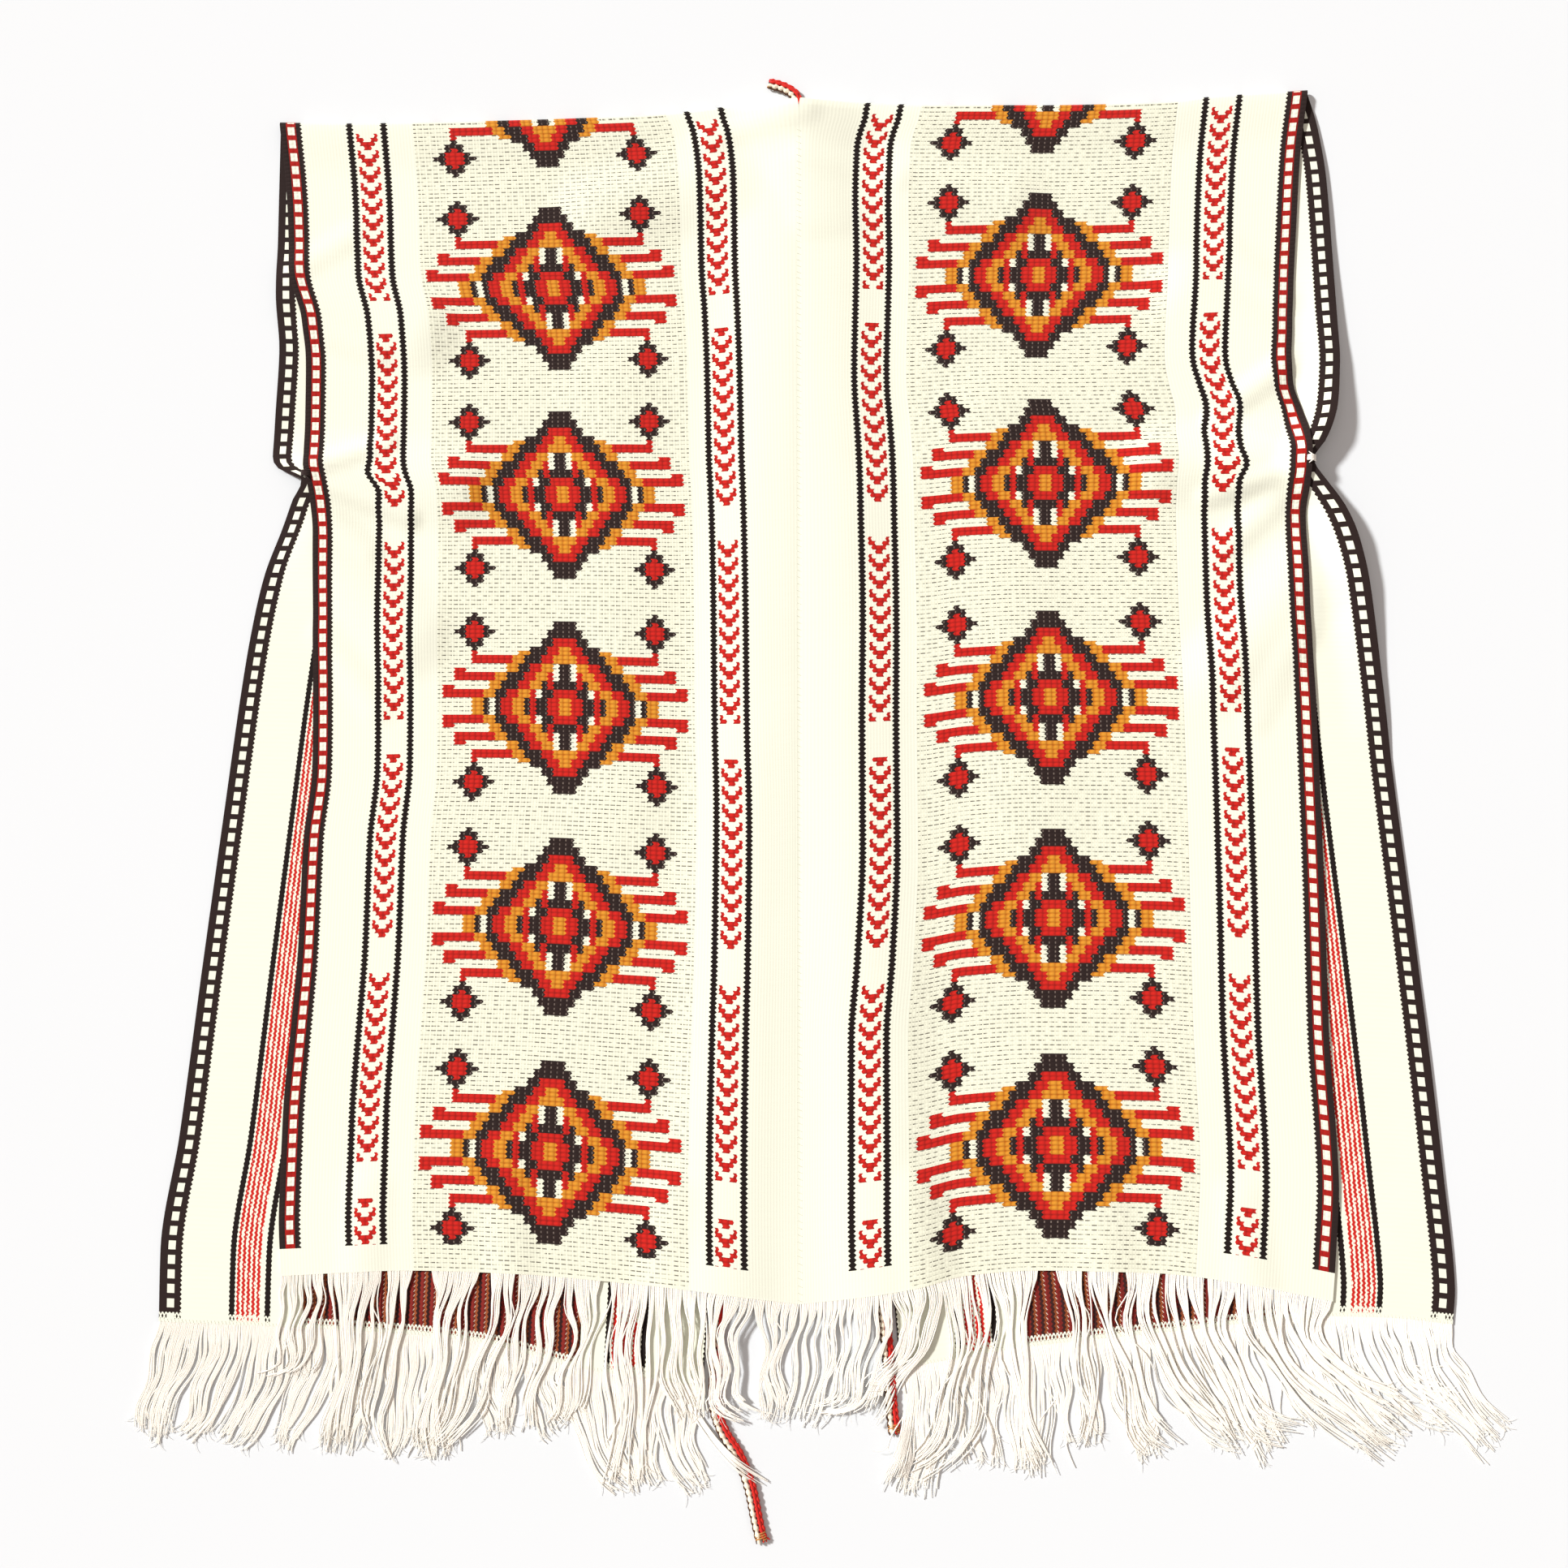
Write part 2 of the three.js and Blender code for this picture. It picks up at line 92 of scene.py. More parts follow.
# The outline. An edge's rows are (y, x), and a fold's or hem's rows are (share of the width from
# the arm side, y). Each strip's front and back leave the same shoulder fold. The weave strays
# outwards by its lean near the seam and by its sway near the arm, in rows of (y, distance), and by
# one sharp kink beside the tack, as (y, distance).
LEFT = {
    "kink": (249, 4.5),
    "sway": [(270, 0), (250, -0.8), (237, -3.6), (218, -1.5), (200, 0)],
    "lean": [
        (568, 16.5), (553, 15.7), (541, 12), (519, 8.8), (498, 7.4), (411, 6.2), (333, 4),
        (228, 1.7), (140, 0), (43, -1), (-48, -3.4), (-137, -2.7), (-199, -1.7), (-320, -1),
        (-399, -1.7),
    ],
    "fold": [(0, 549), (0.13, 548), (0.27, 549), (0.55, 552), (0.74, 555), (0.91, 563), (1, 568)],
    "back": {
        "outer": [
            (549, -415), (481, -407), (418, -402), (380, -391), (340, -387), (262, -385.5),
            (237, -380.5), (200, -376.3), (120, -374.3), (10, -371.5), (-46, -376.5),
            (-130, -378), (-190, -381.5), (-260, -385.5), (-330, -386), (-378, -383),
        ],
        "inner": [(568, SEAM_X - NECK_GAP), (558, SEAM_X - SEAM_GAP), (-399, SEAM_X - SEAM_GAP)],
        "hem": [
            (0, -378), (0.24, -374), (0.43, -376), (0.65, -383), (0.8, -389), (0.91, -395), (1, -399),
        ],
    },
    "front": {
        "outer": [
            (549, -415), (402, -413), (350, -409.5), (295, -411), (264, -411.5), (256, -407),
            (250, -396), (246, -386), (241, -387), (228, -394.5), (202, -403), (168, -415),
            (121, -424), (75, -430), (-21, -440), (-149, -453), (-273, -465), (-359, -476),
            (-412, -475),
        ],
        "inner": [(568, SEAM_X - FRONT_GAP), (495, -2.5), (-462, -61.5)],
        "hem": [
            (0, -412), (0.23, -416), (0.45, -421), (0.6, -428), (0.77, -446), (0.95, -457), (1, -462),
        ],
    },
}
RIGHT = {
    "kink": (257, 5),
    "sway": [
        (470, 0), (430, 0.5), (378, -0.5), (360, 0), (343, 1.8), (328, 5), (315, 6.6), (302, 4.6),
        (283, -0.8), (257, 0.3), (245, -1), (225, 0),
    ],
    "lean": [
        (568, 10), (553, 9), (540, 5), (527, 2.4), (483, 1.3), (433, 2.4), (333, 1), (228, 4.4),
        (140, 5.8), (43, 4.4), (-48, 4.4), (-137, 0), (-199, -5), (-320, -5.8), (-399, -3.7),
    ],
    "fold": [(0, 577), (0.2, 571), (0.27, 567), (0.54, 564), (0.75, 564), (0.89, 566), (1, 568)],
    "back": {
        "outer": [
            (577, 432), (520, 424), (450, 418), (370, 411.5), (343, 409.5), (326, 411),
            (302, 418), (272, 421.5), (240, 419.5), (215, 418), (160, 418), (60, 421), (-86, 422),
            (-190, 421.5), (-304, 425), (-369, 420), (-397, 417),
        ],
        "inner": [(568, SEAM_X + NECK_GAP), (558, SEAM_X + SEAM_GAP), (-399, SEAM_X + SEAM_GAP)],
        "hem": [
            (0, -397), (0.18, -383), (0.33, -376), (0.55, -374), (0.68, -378), (0.77, -387),
            (0.9, -395), (1, -399),
        ],
    },
    "front": {
        "outer": [
            (577, 432), (546, 439.5), (500, 445), (443, 447), (352, 448.5), (326, 446.5),
            (304, 443.5), (288, 438.5), (275, 432.5), (260, 422.5), (243, 432.5), (218, 448.5),
            (190, 459), (157, 465.5), (90, 473), (-5, 481), (-149, 494), (-304, 506), (-386, 511),
            (-414, 508),
        ],
        "inner": [(568, SEAM_X + FRONT_GAP), (495, 27), (-398, 84), (-447, 88)],
        "hem": [(0, -414), (0.12, -409), (0.22, -408), (0.5, -419), (0.75, -430), (1, -447)],
    },
}
SIDES = {"left": LEFT, "right": RIGHT}

# The cloth's soft folds, the broad ones first: from, to, half width and height.
FOLDS = [
    ((-384, 252), (-265, 240), 42, 5),
    ((-396, 405), (-300, 372), 46, 5),
    ((-374, 190), (-300, 120), 44, 4),
    ((418, 263), (305, 258), 42, 6),
    ((410, 350), (330, 400), 46, 5),
    ((416, 165), (350, 90), 44, 4),
    ((-60, 500), (-150, 470), 48, 4),
    ((100, 495), (180, 475), 48, 4),
    ((-386, 253), (-318, 277), 12, 2.6),
    ((-386, 249), (-300, 214), 12, 2.8),
    ((-384, 232), (-330, 188), 15, 1.6),
    ((-398, 420), (-352, 452), 16, 1.4),
    ((-388, 372), (-330, 348), 15, 1.6),
    ((-366, 120), (-322, 60), 18, 1.2),
    ((428, 262), (360, 258), 30, 1.6),
    ((418, 266), (346, 296), 12, 2.6),
    ((418, 256), (338, 230), 12, 2.2),
    ((414, 244), (352, 190), 16, 1.8),
    ((404, 340), (366, 312), 15, 2.4),
    ((408, 398), (360, 440), 18, 1.5),
    ((414, 120), (372, 52), 18, 1.2),
    ((18, 558), (-64, 534), 16, 1.5),
    ((16, 520), (92, 500), 17, 1.3),
    ((-140, 330), (-126, -20), 54, 1.2),
    ((176, 300), (190, -40), 58, 1.2),
    ((-208, -376), (-214, -290), 26, 1.5),
    ((-322, -376), (-318, -312), 24, 1.3),
    ((-96, -386), (-88, -318), 26, 1.5),
    ((112, -386), (104, -318), 28, 1.5),
    ((246, -374), (238, -284), 30, 1.5),
    ((356, -384), (350, -322), 26, 1.4),
]
# How high the right edge rises, as (y, height), and how far in from the edge the rise goes.
RIGHT_EDGE_LIFT = [
    (577, 0), (520, 1), (440, 3), (397, 5), (345, 8.8), (313, 13.6), (292, 15.4), (276, 9.6),
    (260, 4.6), (244, 9.5), (230, 14.5), (209, 14.2), (188, 11.9), (167, 10.6), (144, 8), (100, 4.1),
    (56, 2.2), (22, 0),
]
EDGE_REACH = 36
# The cloth's slight unevenness, its breadth and the slice of the noise that gives it.
UNEVENNESS = 0.9
UNEVEN_BREADTH = 95
UNEVEN_SLICE = 3.1
# The welt beside the seam and the groove along it, each with its height and how far it reaches.
WELT = 0.35
WELT_REACH = 22
GROOVE = 0.12
GROOVE_REACH = 4
# The back rises over the ties, in ridges written as the folds are.
TIE_HUMPS = [
    ((10, 575), (24, 470), 62, 5.4),
    ((2, 480), (-48, -380), 62, 3.8),
    ((24, 470), (74, -380), 62, 3.8),
    ((-48, -380), (-52, -475), 62, 3.8),
    ((-52, -475), (-31, -532), 62, 3.8),
    ((74, -380), (84, -505), 62, 3.8),
]

# The ties' routes along the floor, as (x, y) from the neck to the loose end.
LEFT_TIE = [
    (2.4, 492), (1, 460), (-4, 380), (-14, 200), (-26, 0), (-38, -200), (-48, -380), (-51.5, -445),
    (-52, -475), (-45.5, -493), (-34.5, -510), (-25.7, -532), (-20.6, -555), (-16.4, -573),
]
RIGHT_TIE = [
    (-13, 584), (0, 580), (9, 573.5), (12, 562), (12.5, 540), (17, 510), (22, 480), (28, 380),
    (40, 200), (53, 0), (64, -200), (74, -380), (79, -440), (80.5, -465), (82.5, -486), (83.5, -495),
]
TIE_CENTRE_Z = 2.5

# Strands of a tie's flat braid: across, up, thickness, how deep its beads are and its material.
BRAID_STRANDS = [
    (-3.9, 0.0, 0.72, 0.14, 0), (-1.9, 0.8, 1.4, 0.3, 1), (1.5, 0.7, 1.1, 0.12, 2),
    (3.5, 0.1, 0.95, 0.12, 2), (-2.4, -1.0, 0.95, 0.1, 3), (0.9, -1.1, 1.05, 0.1, 0),
]
BRAID_COLOURS = [
    ("dark", (0.07, 0.03, 0.015)), ("cream", (0.86, 0.76, 0.6)), ("red", (0.6, 0.02, 0.014)),
    ("gold", (0.45, 0.2, 0.05)),
]
# A strand's full thickness, the length of its beads, how far it swings aside and up, and the step
# along it.
BRAID_YARN = 2.5
BRAID_BEAD = 5.2
BRAID_SWING = 0.4
BRAID_RISE = 0.3
BRAID_STEP = 1.6

# The tacks' yarn and loops, and how far in from the edge they lie.
TACK_YARN = 1.25
TACK_LOOPS = 5
TACK_RADIUS = 3.9
TACK_HEIGHT = 2.9
TACK_INSET = 4.2

# The sewing thread, where the seam's stitches start, end and turn over the shoulder, their pitch,
# how far each reaches to both sides and how much it slants.
THREAD = 0.5
SEAM_TOP = 540.0
SEAM_END = -396
SEAM_FOLD = 565
SEAM_PITCH = 5.2
STITCH_REACH = 1.8
STITCH_SLANT = 1.6
HEM_STITCHES = 150

# Front yarns climb over the ties' ends: a ridge at the right one, and at the left one a rise with
# its middle in x, its breadth and its height.
TIE_END_HUMP = ((83, -496), (86, -512), 17, 5.4)
LEFT_TIE_RISE = (-38, 14, 5.4)
# Stray yarns of the front hems: where they end, the point they bow towards, how many they are and
# their root's share of the hem.
WISPS = {
    "fringe_front_left": ((-9, -531), (-58, -505), 18, 0.96),
    "fringe_front_right": ((76, -534), (98, -490), 34, 0.975),
}
# Where a back hem's yarns part, as (x, half width).
PARTINGS = {
    "fringe_back_left": [(-349, 2), (-304, 4), (-275, 11), (-227, 7), (-203, 2.5), (-136, 6)],
    "fringe_back_right": [(144, 3), (200, 10), (229, 2.5), (257, 4.5), (288, 3), (321, 2)],
}
# Where each lock of fringe ends, from the arm side. The locks share their hem evenly.
LOCKS = {
    "fringe_back_left": [
        (-372, -456), (-345, -505), (-322, -500), (-274, -511), (-249, -508), (-204, -490),
        (-165, -490), (-114, -530), (-74, -482), (-44, -486), (-12, -484),
    ],
    "fringe_back_right": [
        (481, -476), (458, -502), (374, -503), (348, -500), (278, -508), (231, -500), (180, -520),
        (112, -530), (60, -474), (42, -486), (20, -489),
    ],
    "fringe_front_left": [
        (-483, -496), (-445, -501), (-413, -504), (-381, -501), (-333, -508), (-284, -511),
        (-258, -512), (-207, -492), (-166, -490), (-122, -537), (-100, -532), (-62, -534),
    ],
    "fringe_front_right": [
        (541, -497), (506, -485), (464, -503), (410, -482), (374, -505), (346, -503), (279, -512),
        (226, -503), (181, -524), (145, -516), (97, -538),
    ],
}

# How the yarns of a back and a front hem fall: their share of the yarns, the yarns in a bunch, how
# far a bunch gathers and leans, the broad and fine waves, the hook at a lock's end, the narrowest
# and widest a lock ends, and the share of locks that draw together early.
FALL = {
    "back": {
        "yarns": 0.64, "bunch": 7, "gather": 0.55, "lean": 1, "flow": 5.5, "ripple": 2.0,
        "hook": 11, "width": (0.42, 0.72), "early": 0.3,
    },
    "front": {
        "yarns": 1, "bunch": 9, "gather": 0.25, "lean": 0.5, "flow": 3.5, "ripple": 1.3,
        "hook": 5, "width": (0.5, 0.8), "early": 0,
    },
}
HEM_WIDTH = 415
FRONT_FRINGE_TOP = 1.4
YARN_STEPS = 17
# Between these places in x the back's yarns have only the floor and the ties below them.
OPEN_FRONT = (-58, 82)
STRAY_CHANCE = 0.03
STRAY_REACH = 2.6
FRAY_CHANCE = 0.2
FRINGE_SEEDS = (11, 23, 37, 41)

# The weave's bands across a strip, measured from its arm side. A strip's inner border is turned
# into the seam at the back.
STRIP_WIDTH = 427.5
BACK_WIDTH = 409.6
BORDER = 16.6
FRONT_SLIVER = 2.6
LINES = (55.0, 82.0, 337.6, 364.6)
MARKS = ((60.2, 76.8), (342.6, 359.6))
FIELD = (105.0, 321.0)
MOTIF_MIDDLE = 213.0
BACK_LENGTH = 926.0
FRONT_LENGTH = 968.0
PLAIN_END = 20.0
# The pattern's repeat and where it starts, in rows of stitches.
REPEAT = 50
FIRST_ROW = 16

# The medallion's rings as (from, to), counted in stitches from its middle.
HEART = (-1, 2.6)
EYE = (2.5, 5.5)
EYE_RIM = (5.4, 8.5)
TICKS = (8.4, 11.5)
INNER_RING = (11.4, 14.5)
RED_RING = (14.4, 17.5)
OUTLINE = (17.4, 21.6)
NOTCHES = (18.4, 20.6)
HALO = (21.5, 24.5)
# Its feathers: the rows they cover above and below the middle, their pitch and thickness in rows,
# how far out the first one ends, and how much shorter each next one is.
FEATHER_ROWS = 13
FEATHER_PITCH = 4
FEATHER_THICK = 2
FEATHER_END = 20.9
FEATHER_STEP = 2.2
# The small lozenges at its corners: their place, their red heart and their dark rim.
SMALL_AT = (15.5, 17.5)
SMALL_HEART = 2.6
SMALL_RIM = (2.5, 4.6)

# The borders' ladder in millimetres: its pitch, and the half sizes of its blocks, bars and rims.
LADDER_PITCH = 10.9
LADDER_SHIFT = 0.3  # past the border's middle
BLOCK_HALF = 2.7
BLOCK_HALF_LENGTH = 3.35
BAR_HALF = 3.5
RIM = (2.6, 3.9)
TOOTH = 0.9  # what the rippled edge starts short of the border's width

# How far a row's stitches swing sideways, and the plain weave's ribs, in millimetres.
EDGE_WAVE = 1.8
FACE_RIB = 2.45
# The chevrons: their arms' steps in millimetres, and their pitch and their group in rows.
CHEVRON_STEP = 2.9
CHEVRON_PITCH = 4
CHEVRON_ROWS = (2, 44)
# The wrong side's threads beside the lines, its cords and the cross stitches at its hem.
THREAD_MARGIN = 1.2
CORD_PITCH = 7.6
CROSS_PITCH = 5.4
CROSS_ROWS = (1.5, 7.5)

# Colours that the yarns' own don't give.
DASH = (0.15, 0.14, 0.115)
# The ochre stitches' painted shade round their rims.
SHADED_OCHRE = (0.38, 0.10, 0.004)
PALE_SPOT = (0.17, 0.135, 0.115)
REVERSE_BROWN = (0.035, 0.010, 0.009)
REVERSE_RED = (0.19, 0.016, 0.012)
REVERSE_TAN = (0.25, 0.060, 0.018)
REVERSE_LIGHT = (0.58, 0.46, 0.38)

# The stage. A lamp has its kind, its place in metres, its angle or size, its power and its tint.
LAMPS = [
    ("window", "SUN", (-1.40, 0.66, 1.06), math.radians(7), 5.05, (1.0, 0.99, 0.97)),
    ("overhead", "AREA", (0.0, 0.0, 3.2), 3.0, 12, (1.0, 1.0, 1.0)),
]
SKY_TINT = (1.0, 0.84, 0.76, 1)
SKY_POWER = 0.43
FLOOR_TONES = ((0.687, 0.720, 0.746), (0.680, 0.713, 0.739))


def length_setting(name, description, default):
    return FloatProperty(
        name=name, description=description, default=default, unit="LENGTH", precision=4,
    )


def count_setting(name, description, default, least):
    return IntProperty(name=name, description=description, default=default, min=least)


def angle_setting(name, description, degrees):
    return FloatProperty(
        name=name, description=description, default=math.radians(degrees), subtype="ANGLE",
    )


def colour_setting(name, description, colour):
    return FloatVectorProperty(
        name=name, description=description, subtype="COLOR", default=colour,
    )


class CapeSizes(bpy.types.PropertyGroup):
    """Sizes of the cape's yarns and stitches."""

    stitch_width: length_setting("Stitch width", "Width of one woven stitch", 0.0049)
    stitch_height: length_setting("Stitch height", "Height of one woven row", 0.003456)
    cloth_columns: count_setting("Columns", "Divisions of the cloth across a strip", 96, 20)
    cloth_rows: count_setting("Rows", "Divisions of the cloth along one layer", 188, 40)
    yarns: count_setting("Yarns", "Yarns in the fringe of a front hem", 680, 50)
    yarn_thickness: length_setting("Yarn thickness", "Thickness of one yarn of the fringe", 0.00105)


class CapeColours(bpy.types.PropertyGroup):
    """Colours of the cape's yarns."""

    ivory: colour_setting("Ivory", "Ground of the brocade", (0.75, 0.77, 0.655))
    dark: colour_setting("Dark brown", "Borders and dark motifs", (0.020, 0.011, 0.010))
    red: colour_setting("Red", "Red motifs", (0.545, 0.015, 0.010))
    ochre: colour_setting("Ochre", "Ochre motifs", (0.64, 0.275, 0.026))
    fringe: colour_setting("Fringe", "Yarn of the fringes", (0.90, 0.87, 0.80))


class CapeStage(bpy.types.PropertyGroup):
    """The camera, the lights and the floor."""

    distance: length_setting("Distance", "Camera to the middle of the view", 1.5)
    tilt: angle_setting("Tilt", "Camera's tilt from straight down", 7.4)
    view_angle: angle_setting("View angle", "Camera's angle of view", 44.8)


# Shapes.


def along(table, at):
    """A smooth curve through a table's rows that never overshoots them."""
    rows = table if table[0][0] < table[-1][0] else table[::-1]
    x = min(max(at, rows[0][0]), rows[-1][0])
    k = 0
    while k < len(rows) - 2 and x > rows[k + 1][0]:
        k += 1

    def slope(i):
        return (rows[i + 1][1] - rows[i][1]) / (rows[i + 1][0] - rows[i][0])

    def tangent(i):
        if i == 0:
            return slope(0)
        if i == len(rows) - 1:
            return slope(i - 1)
        before, after = slope(i - 1), slope(i)
        return 2 * before * after / (before + after) if before * after > 0 else 0

    span = rows[k + 1][0] - rows[k][0]
    u = (x - rows[k][0]) / span
    start = (1 + 2 * u) * (1 - u) ** 2 * rows[k][1] + u * (1 - u) ** 2 * span * tangent(k)
    end = u * u * (3 - 2 * u) * rows[k + 1][1] - u * u * (1 - u) * span * tangent(k + 1)
    return start + end


def mix(a, b, t):
    return a + (b - a) * t


def ease(t):
    t = min(max(t, 0), 1)
    return t * t * (3 - 2 * t)


def ridge(x, y, start, end, half, height):
    """A soft ridge's height at a point of the plan."""
    run_x, run_y = end[0] - start[0], end[1] - start[1]
    share = ((x - start[0]) * run_x + (y - start[1]) * run_y) / (run_x**2 + run_y**2)
    t = min(max(share, 0), 1)
    off = math.hypot(x - start[0] - t * run_x, y - start[1] - t * run_y) / half
    return height * (1 - off * off) ** 2 if off < 1 else 0


def fold_lift(x, y):
    """How far both layers rise at a point, with their creases and slight unevenness."""
    lift = sum(ridge(x, y, *fold) for fold in FOLDS)
    inside = max(0, along(RIGHT["front"]["outer"], y) - x) / EDGE_REACH
    if inside < 1 and y > RIGHT_EDGE_LIFT[-1][0]:
        lift += along(RIGHT_EDGE_LIFT, y) * (1 - inside * inside) ** 2
    spot = Vector((x / UNEVEN_BREADTH, y / UNEVEN_BREADTH, UNEVEN_SLICE))
    return lift + max(0, UNEVENNESS * noise.noise(spot))


def tie_lift(x, y):
    return max(ridge(x, y, *hump) for hump in TIE_HUMPS)


def seam_lift(x):
    """The turned-in borders make a low welt each side of the seam, with a groove between them."""
    off = abs(x - SEAM_X)
    welt = WELT * max(0, 1 - (off / WELT_REACH) ** 2) ** 2
    return welt - GROOVE * max(0, 1 - off / GROOVE_REACH) ** 2


def plan(side, layer, s, t):
    """Place of a layer's point in plan: s from the arm side to the neck, t from fold to hem."""
    sag = FOLD_RADIUS + CLOTH / 2
    tops = [along(side["fold"], share) - sag for share in (0, s, 1)]
    hems = [along(layer["hem"], share) for share in (0, s, 1)]
    outer_y = mix(tops[0], hems[0], t)
    inner_y = mix(tops[2], hems[2], t)
    fold_bow = tops[1] - mix(tops[0], tops[2], s)
    hem_bow = hems[1] - mix(hems[0], hems[2], s)
    x = mix(along(layer["outer"], outer_y), along(layer["inner"], inner_y), s)
    y = mix(outer_y, inner_y, s) + (1 - t) * fold_bow + t * hem_bow
    outward = -1 if side is LEFT else 1
    past_line = max(0, s - (1 - LEAN_ENDS)) / LEAN_ENDS
    near_line = ease((s - LEAN_FROM) / LEAN_GROWS) * max(0, 1 - past_line**2)
    x += outward * along(side["lean"], y) * near_line
    x += outward * along(side["sway"], y) * max(0, 1 - ((s - SWAY_AT) / SWAY_REACH) ** 2)
    kink_y, kink = side["kink"]
    kink *= max(0, 1 - abs(y - kink_y) / KINK_LENGTH)
    kink *= max(0, 1 - ((s - KINK_AT) / KINK_REACH) ** 2)
    return x + outward * kink, y, t * (tops[1] - hems[1])


def level(side, layer, x, y, from_fold):
    """Height of the middle of a layer's cloth."""
    lift = fold_lift(x, y)
    if layer is side["front"]:
        return FRONT_Z + lift
    roll = FRONT_Z + 2 * FOLD_RADIUS - BACK_Z
    near = max(0, 1 - from_fold / FOLD_REACH)
    return BACK_Z + lift + roll * ease(near) + tie_lift(x, y) + seam_lift(x)


def origin_shift():
    """From the outline's own plan to the row frame, read off the left tack."""
    low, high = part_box("side_tack_left")
    middle = (Vector(low) + Vector(high)) / 2 / MM
    return Vector((middle.x - TACK_SOLID[0], middle.y - TACK_SOLID[1], 0))


SHIFT = origin_shift()


def place(x, y, z):
    """A point of the plan, in metres in the row frame."""
    return (Vector((x, y, z)) + SHIFT) * MM


# Materials.


def math_method(kind, reflected=False):
    """A method that adds a Math node, with its two values swapped in the reflected form."""

    def method(self, other):
        values = (other, self) if reflected else (self, other)
        return self.paint.maths(kind, *values)

    return method


class Amount:
    """A number that varies over a surface. Arithmetic on it adds Math nodes."""

    def __init__(self, paint, socket):
        self.paint = paint
        self.socket = socket

    __add__ = math_method("ADD")
    __radd__ = math_method("ADD", True)
    __sub__ = math_method("SUBTRACT")
    __rsub__ = math_method("SUBTRACT", True)
    __mul__ = math_method("MULTIPLY")
    __rmul__ = math_method("MULTIPLY", True)
    __truediv__ = math_method("DIVIDE")
    __mod__ = math_method("FLOORED_MODULO")
    __lt__ = math_method("LESS_THAN")
    __gt__ = math_method("GREATER_THAN")
    __and__ = math_method("MULTIPLY")
    __or__ = math_method("MAXIMUM")

    def __invert__(self):
        return self.paint.maths("SUBTRACT", 1, self)

    def __abs__(self):
        return self.paint.maths("ABSOLUTE", self)

    def floor(self):
        return self.paint.maths("FLOOR", self)

    def fraction(self):
        return self.paint.maths("FRACT", self)

    def sine(self):
        return self.paint.maths("SINE", self)

    def within(self, low, high):
        return (self > low) & (self < high)


class Paint:
    """A material and the nodes that colour it."""

    def __init__(self, name, roughness, sheen=0.0):
        self.material = bpy.data.materials.new(name)
        self.material.use_nodes = True
        self.tree = self.material.node_tree
        self.shader = self.tree.nodes["Principled BSDF"]
        self.shader.inputs["Roughness"].default_value = roughness
        self.shader.inputs["Sheen Weight"].default_value = sheen
        self.shader.inputs["Sheen Roughness"].default_value = 0.5
        self.shader.inputs["Specular IOR Level"].default_value = 0.12

    def node(self, kind, settings=None, inputs=None):
        made = self.tree.nodes.new(kind)
        for name, value in (settings or {}).items():
            setattr(made, name, value)
        for name, value in (inputs or {}).items():
            self.feed(made.inputs[name], value)
        return made

    def feed(self, socket, value):
        if isinstance(value, Amount):
            value = value.socket
        if isinstance(value, bpy.types.NodeSocket):
            self.tree.links.new(value, socket)
        elif hasattr(value, "__len__") and len(value) == 3 and socket.type == "RGBA":
            socket.default_value = (*value, 1)
        else:
            socket.default_value = value

    def maths(self, operation, *values):
        made = self.node("ShaderNodeMath", {"operation": operation}, dict(enumerate(values)))
        return Amount(self, made.outputs[0])

    def over(self, below, above, share):
        """The colour above laid over the one below where share is 1."""
        made = self.node("ShaderNodeMix", {"data_type": "RGBA"}, {0: share, 6: below, 7: above})
        return made.outputs[2]

    def noise(self, scale, detail=2.0, vector=None, stretch=(1, 1, 1)):
        """Noise over the object's own coordinates, or over a given vector."""
        source = vector or self.node("ShaderNodeTexCoord").outputs["Object"]
        spread = self.node("ShaderNodeMapping", None, {"Vector": source, "Scale": stretch})
        made = self.node(
            "ShaderNodeTexNoise", None,
            {"Vector": spread.outputs[0], "Scale": scale, "Detail": detail},
        )
        return Amount(self, made.outputs["Fac"])

    def finish(self, colour, height=None, depth=0, strength=0):
        self.feed(self.shader.inputs["Base Color"], colour)
        if height is not None:
            bump = self.node(
                "ShaderNodeBump", None, {"Height": height, "Distance": depth, "Strength": strength}
            )
            self.feed(self.shader.inputs["Normal"], bump.outputs[0])
        return self.material


def shade(colour, share):
    return tuple(c * share for c in colour)


